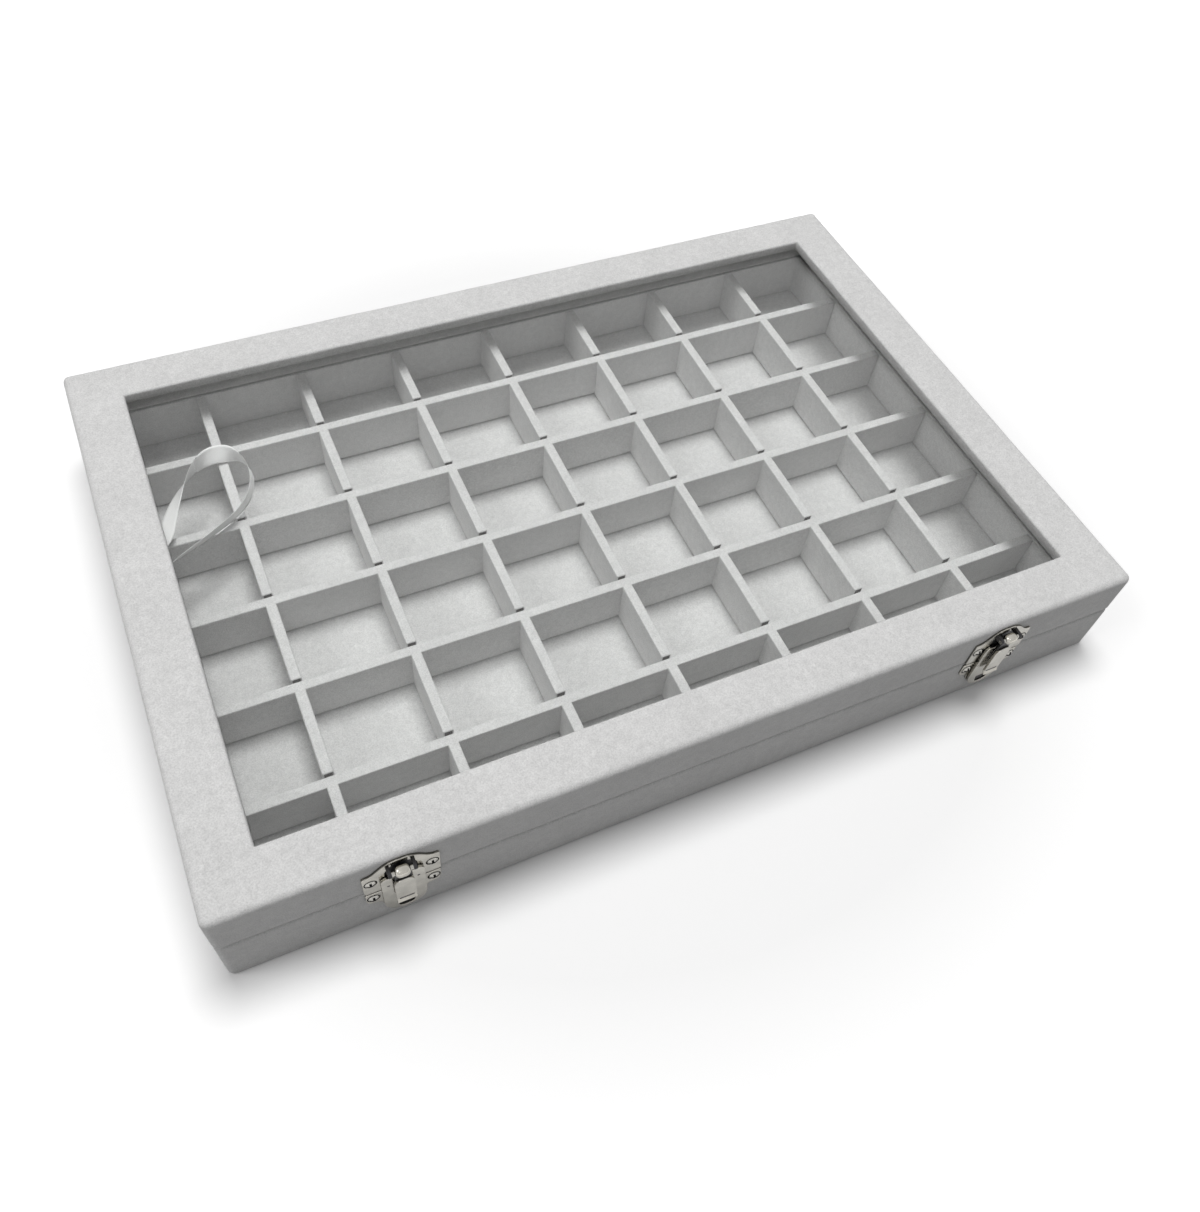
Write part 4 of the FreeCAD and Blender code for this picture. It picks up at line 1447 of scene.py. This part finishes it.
    def add_lip(self, form: Form) -> None:
        """Add the lip below the crease, which flares out for the finger.

        Args:
            form: Shape of the lever.
        """
        known_edges = set(form.mesh.edges)
        ends = (-self.lip_half, self.lip_half)
        edge = form.mesh.edges.new([form.mesh.verts.new((x, self.tongue_back, self.lip_root)) for x in ends])
        for step in self.lip_steps:
            grown = bmesh.ops.extrude_edge_only(form.mesh, edges=[edge])["geom"]
            verts = [item for item in grown if isinstance(item, BMVert)]
            bmesh.ops.translate(form.mesh, vec=(0.0, *step), verts=verts)
            edge = next(item for item in grown if isinstance(item, BMEdge))
        faces = {face for found in form.mesh.edges if found not in known_edges for face in found.link_faces}
        form.thicken(list(faces), Vector((0.0, -self.lip, 0.0)))
        rims = [found for found in form.sharp_edges(RIM_ANGLE) if found not in known_edges]
        form.round_edges(rims, self.lip_edge)

    def neck_leaf(self) -> Form:
        """Build the leaf that joins the lever's knuckle and tongue and the strip in the crease, in near
        black painted shade for the shaded band under the knuckle and the crease.

        Returns:
            The shape.
        """
        form = Form()
        form.plate(self.whole(self.neck_outline), self.neck_back, self.neck, self.neck_edge)
        form.plate(self.whole(self.crease_outline), self.crease_back, self.crease, self.crease_edge)
        return form

    def keeper(self) -> Form:
        """Build the keeper of the base: eared plate and the nose that stands before the lid's plate.

        Returns:
            The shape.
        """
        form = Form()
        grip = self.whole(self.grip_outline)
        form.plate(self.whole(self.keeper_outline), self.front, self.sheet, self.keeper_edge)
        form.plate(self.whole(self.block_outline), self.block_back, self.block, self.block_edge)
        form.plate(self.whole(self.nose_outline), self.nose_back, self.nose, self.nose_edge, grip)
        return form

    def grip(self) -> Form:
        """Build the floor of the finger grip and two discs on the nose beside the tongue, in near black
        painted shade for the grip's hollow and the two dimples.

        Returns:
            The shape.
        """
        form = Form()
        form.plate(self.whole(self.grip_outline), self.nose_back, self.grip_floor, self.crisp_edge)
        foot, face = self.dimple_radii
        turn = Matrix.Rotation(QUARTER_TURN, 4, "X")
        for sign in (-1, 1):
            place = Matrix.Translation((sign * self.dimple_x, self.nose_back - self.nose, self.dimple_z))
            bmesh.ops.create_cone(
                form.mesh, cap_ends=True, segments=self.dimple_sides, radius1=foot, radius2=face,
                depth=self.dimple, matrix=place @ turn,
            )
        return form


@dataclass
class Hinge(Assembly):
    """Butt hinge on the back: two leaves with rolled knuckles, pin and screws, in millimetres."""

    side: Side
    inset_x: float = 100.0
    back: float = 120.0
    axis_y: float = 122.2
    axis_z: float = 24.7
    half_width: float = 14.0
    leaf: float = 0.9
    leaf_height: float = 11.0
    leaf_corner: float = 1.6
    leaf_edge: float = 0.3
    crisp_edge: float = 0.05
    relief: float = 2.1
    knuckle_radius: float = 1.9
    knuckle_edge: float = 0.25
    end_knuckle: float = 8.0
    middle_knuckle: float = 11.6
    strap_inset: float = 0.05
    strap_lap: float = 0.3
    strap_corner: float = 0.1

    def build(self) -> list[Piece]:
        """Build the hinge.

        Returns:
            The new pieces.
        """
        name = self.side.name.lower()
        upper_screws, lower_screws = (
            [f"hinge_{leaf}_screw_{name}_{number}" for number in (1, 2)] for leaf in ("upper", "lower")
        )
        self.dress(ScrewSteel(), [*upper_screws, *lower_screws, f"hinge_pin_{name}"])
        end_x = self.half_width - self.end_knuckle / 2
        ends = [(-end_x, self.end_knuckle), (end_x, self.end_knuckle)]
        return [
            self.leaf_piece(f"hinge_lower_leaf_{name}", Body.BASE, -1, ends),
            self.leaf_piece(f"hinge_upper_leaf_{name}", Body.LID, 1, [(0.0, self.middle_knuckle)]),
            self.screw_marks(f"hinge_upper_screw_marks_{name}", Body.LID, upper_screws, 1),
            self.screw_marks(f"hinge_lower_screw_marks_{name}", Body.BASE, lower_screws, 1),
        ]

    def leaf_piece(self, node: str, body: Body, way: int, knuckles: Sequence[Span]) -> Piece:
        """Build one leaf.

        Args:
            node: Node that it stands for.
            body: Body it rides on.
            way: 1 for the lid's leaf and -1 for the base's.
            knuckles: Middle and length of each knuckle.

        Returns:
            The piece.
        """
        form = Form()
        root = self.axis_z + way * self.relief
        tip = self.axis_z + way * self.leaf_height
        outside = self.back + self.leaf
        form.plate([
            (-self.half_width, root, self.leaf_edge),
            (self.half_width, root, self.leaf_edge),
            (self.half_width, tip, self.leaf_corner),
            (-self.half_width, tip, self.leaf_corner),
        ], outside, self.leaf, self.crisp_edge)
        form.round_edges(form.edges_at(1, outside), self.leaf_edge)
        lap = root + way * self.strap_lap
        for middle, length in knuckles:
            centre = Vector((middle, self.axis_y, self.axis_z))
            form.barrel(centre, self.knuckle_radius, length, self.knuckle_edge)
            half = length / 2 - self.strap_inset
            form.plate([
                (middle - half, lap, self.strap_corner),
                (middle + half, lap, self.strap_corner),
                (middle + half, self.axis_z, self.strap_corner),
                (middle - half, self.axis_z, self.strap_corner),
            ], outside - self.strap_inset, self.leaf - 2 * self.strap_inset, self.crisp_edge)
        form.move((self.side.value * self.inset_x, 0.0, 0.0))
        piece = form.to_object(f"{node}_plated")
        self.even_shading(piece)
        return self.place(piece, body, Nickel(), node)


@dataclass(frozen=True)
class Station:
    """Control point of the ribbon's line, in millimetres, and the way its upper edge leans there."""

    x: float
    y: float
    z: float
    lean: Triple = (0.0, -1.0, 0.0)

    def middle(self) -> Vector:
        """Give the point on the ribbon's middle line."""
        return Vector((self.x, self.y, self.z))

    def edge(self) -> Vector:
        """Give the point on the ribbon's upper edge."""
        return self.middle() + Vector(self.lean).normalized() * RIBBON_HALF_WIDTH


@dataclass
class LidStayRibbon(Assembly):
    """Ribbon that stays the lid: a loose loop from the base's lining to the lid's."""

    node: str = "lid_stay_ribbon"
    thickness: float = 0.3
    across: int = 6
    steps: int = 12
    tie: float = 1e-6
    route: tuple[Station, ...] = (
        Station(-167.15, 22.0, 18.7),
        Station(-167.15, 22.0, 23.0),
        Station(-166.6, 22.0, 27.4, (0.0, -1.0, 0.1)),
        Station(-161.2, 22.7, 28.3, (0.24, -0.74, 0.62)),
        Station(-154.8, 27.3, 28.0, (0.07, -0.58, 0.81)),
        Station(-139.1, 34.6, 28.0, (0.02, -0.44, 0.90)),
        Station(-123.1, 44.5, 28.0, (-0.24, -0.41, 0.88)),
        Station(-117.2, 58.7, 28.0, (-0.27, -0.59, 0.76)),
        Station(-119.6, 70.4, 28.0, (0.18, -0.41, 0.89)),
        Station(-127.9, 75.4, 28.0, (0.27, 0.84, 0.48)),
        Station(-138.2, 71.7, 28.0, (-0.06, -0.12, 0.99)),
        Station(-149.2, 54.0, 28.0, (0.34, -0.88, 0.34)),
        Station(-155.6, 38.0, 28.4, (0.63, -0.77, -0.09)),
        Station(-162.5, 33.9, 29.2, (0.16, -0.99, 0.0)),
        Station(-166.8, 33.5, 30.6),
        Station(-167.15, 33.5, 34.0),
        Station(-167.15, 33.5, 37.3),
    )

    def build(self) -> list[Piece]:
        """Build the ribbon as two legs that meet where it stands upright.

        Returns:
            The new pieces.
        """
        middle = self.spline([station.middle() for station in self.route])
        edge = self.spline([station.edge() for station in self.route])
        leans = [(there - here).normalized() for here, there in zip(middle, edge)]
        turn = max(range(len(middle)), key=lambda index: middle[index].y)
        meet = min(range(turn, len(middle)), key=lambda index: -leans[index].z + (index - turn) * self.tie)
        lower = self.leg("lid_stay_ribbon_lower", middle[: meet + 1], leans[: meet + 1])
        upper = self.leg("lid_stay_ribbon_upper", middle[meet:], leans[meet:])
        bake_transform(lower)
        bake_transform(upper)
        self.declare(lower, middle[: meet + 1])
        self.declare(upper, middle[meet:])
        return [lower, upper]

    def spline(self, points: Sequence[Vector]) -> list[Vector]:
        """Run a smooth line along control points.

        Args:
            points: Control points.

        Returns:
            Points along the line.
        """
        curve = bpy.data.curves.new("ribbon_line", "CURVE")
        curve.dimensions = "3D"
        run = curve.splines.new("NURBS")
        run.points.add(len(points) - 1)
        for point, place in zip(run.points, points):
            point.co = (*place, 1.0)
        run.order_u = 3
        run.use_endpoint_u = True
        run.resolution_u = self.steps
        holder = bpy.data.objects.new("ribbon_line", curve)
        line = bpy.data.meshes.new_from_object(holder)
        places = [vert.co.copy() for vert in line.vertices]
        bpy.data.meshes.remove(line)
        bpy.data.objects.remove(holder)
        bpy.data.curves.remove(curve)
        return places

    @staticmethod
    def length(middle: Sequence[Vector]) -> float:
        """Measure a line of points."""
        return sum((there - here).length for here, there in pairwise(middle))

    def leg(self, name: str, middle: Sequence[Vector], leans: Sequence[Vector]) -> Piece:
        """Lay a strip of ribbon along a line.

        Args:
            name: Name of the piece.
            middle: Points along its middle.
            leans: Way from the middle to its upper edge at each point.

        Returns:
            The piece.
        """
        form = Form()
        count = len(middle) - 1
        bmesh.ops.create_grid(form.mesh, x_segments=count, y_segments=self.across, size=0.5)
        layer = form.mesh.loops.layers.uv.new("ribbon")
        length = self.length(middle)
        for face in form.mesh.faces:
            for loop in face.loops:
                place = loop.vert.co
                loop[layer].uv = ((place.x + 0.5) * length * MM, place.y + 0.5)
        for vert in form.mesh.verts:
            index = round((vert.co.x + 0.5) * count)
            vert.co = middle[index] + leans[index] * (2.0 * vert.co.y * RIBBON_HALF_WIDTH)
        bmesh.ops.solidify(form.mesh, geom=list(form.mesh.faces), thickness=self.thickness)
        bmesh.ops.recalc_face_normals(form.mesh, faces=form.mesh.faces)
        piece = form.to_object(name)
        finish = SatinRibbon()
        piece.data.materials.append(finish.material())
        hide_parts(self.node)
        return piece

    def declare(self, piece: Piece, middle: Sequence[Vector]) -> None:
        """Take one leg, a limp flat strip with both ends on the case; nothing is declared for it.

        Args:
            piece: The leg; not used.
            middle: Points along its middle; not used.
        """


@dataclass(frozen=True)
class SoftLamp:
    """Large round lamp that is aimed at the case."""

    name: str
    place: Triple
    size: float
    power: float
    mirrored: bool

    def hang(self) -> None:
        """Add the lamp to the scene, out of the glass's reflections unless it is mirrored."""
        light = bpy.data.lights.new(self.name, "AREA")
        light.shape = "DISK"
        light.size = self.size
        light.energy = self.power
        lamp = bpy.data.objects.new(self.name, light)
        lamp.location = self.place
        lamp.visible_glossy = self.mirrored
        lamp.visible_transmission = self.mirrored
        lamp.rotation_mode = "QUATERNION"
        lamp.rotation_quaternion = Vector(self.place).to_track_quat("Z", "Y")
        bpy.context.scene.collection.objects.link(lamp)


@dataclass(frozen=True)
class Studio:
    """Camera, lamps, floor and world round the case, in metres."""

    eye: Triple = (-0.135854, -0.250455, 0.358709)
    right: Triple = (0.90813, -0.41089, 0.08042)
    up: Triple = (0.29452, 0.76344, 0.57482)
    back: Triple = (-0.29758, -0.49833, 0.81432)
    focal_pixels: float = 1084.211
    clip: Span = (0.01, 50.0)
    lamps: tuple[SoftLamp, ...] = (
        SoftLamp("over_lamp", (0.2, 0.36, 2.4), 1.05, 39.0, mirrored=False),
        SoftLamp("left_lamp", (-1.75, 0.15, 1.8), 1.2, 11.0, mirrored=True),
        SoftLamp("front_lamp", (-0.5, -1.3, 1.7), 0.3, 1.8, mirrored=True),
    )
    ambient: float = 0.21
    floor_greys: Span = (0.43, 0.95)
    glow: Span = (0.0, 1.0)
    glow_reach: Span = (0.18, 0.6)
    floor_half: float = 4.0
    floor_cells: int = 8
    floor_level: float = -0.0002

    def build(self) -> None:
        """Set up camera, lamps, floor and world."""
        self.camera()
        for lamp in self.lamps:
            lamp.hang()
        self.floor()
        self.world()
        bpy.context.scene.view_settings.view_transform = "Standard"

    def camera(self) -> None:
        """Place the camera where the photograph was taken from."""
        lens = bpy.data.cameras.new("camera")
        lens.sensor_width = SENSOR
        lens.lens = self.focal_pixels * SENSOR / IMAGE_HEIGHT
        lens.clip_start, lens.clip_end = self.clip
        camera = bpy.data.objects.new("camera", lens)
        axes = Matrix((self.right, self.up, self.back)).transposed()
        camera.matrix_world = Matrix.Translation(self.eye) @ axes.to_4x4()
        bpy.context.scene.collection.objects.link(camera)
        bpy.context.scene.camera = camera

    @staticmethod
    def seen_rays(graph: NodeGraph) -> Socket:
        """Tell rays that show the background, straight, mirrored or through glass.

        Args:
            graph: Node tree of the floor or the world.

        Returns:
            1 for such a ray and 0 for others.
        """
        rays = graph.add("ShaderNodeLightPath").outputs
        straight = graph.math("MAXIMUM", rays["Is Camera Ray"], rays["Is Glossy Ray"])
        return graph.math("MAXIMUM", straight, rays["Is Transmission Ray"])

    def floor(self) -> None:
        """Lay the pale floor, which shows white where no shadow falls."""
        form = Form()
        cells = self.floor_cells
        bmesh.ops.create_grid(form.mesh, x_segments=cells, y_segments=cells, size=self.floor_half / MM)
        form.move((0.0, 0.0, self.floor_level / MM))
        floor = form.to_object("studio_floor")
        material = bpy.data.materials.new("studio_floor")
        material.use_nodes = True
        graph = NodeGraph(material.node_tree)
        seen = self.seen_rays(graph)
        grey = graph.spread(seen, self.floor_greys, UNIT_SPAN)
        plain = graph.add("ShaderNodeBsdfDiffuse", {"Color": grey}).outputs["BSDF"]
        lengths = graph.add("ShaderNodeVectorMath", {"Vector": graph.coordinates()}, operation="LENGTH")
        brightness = graph.spread(lengths.outputs["Value"], self.glow, self.glow_reach)
        glow = graph.math("MULTIPLY", seen, brightness)
        light = graph.add("ShaderNodeEmission", {"Strength": glow}).outputs["Emission"]
        both = graph.add("ShaderNodeAddShader")
        graph.feed(both.inputs[0], plain)
        graph.feed(both.inputs[1], light)
        graph.output(both.outputs["Shader"])
        floor.data.materials.append(material)

    def world(self) -> None:
        """Make the world white to look at and a soft fill light for the case."""
        world = bpy.data.worlds.new("studio")
        bpy.context.scene.world = world
        world.use_nodes = True
        graph = NodeGraph(world.node_tree)
        fill, backdrop = (
            graph.add("ShaderNodeBackground", {"Color": WHITE, "Strength": strength}).outputs["Background"]
            for strength in (self.ambient, 1.0)
        )
        graph.output(graph.mix(self.seen_rays(graph), fill, backdrop), "ShaderNodeOutputWorld")


def main() -> None:
    """Build, dress and light the case."""
    logging.basicConfig(level=logging.INFO, format="%(name)s: %(message)s")
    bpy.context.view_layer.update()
    Studio().build()
    assemblies: list[Assembly] = [
        LidStayRibbon(),
        Tray(),
        Lid(),
        Dividers(),
        *(Latch(side) for side in Side),
        *(Hinge(side) for side in Side),
    ]
    for assembly in assemblies:
        for piece in assembly.build():
            LOG.info("%s: %s, %d faces", type(assembly).__name__, piece.name, len(piece.data.polygons))


if __name__ == "__main__":
    main()
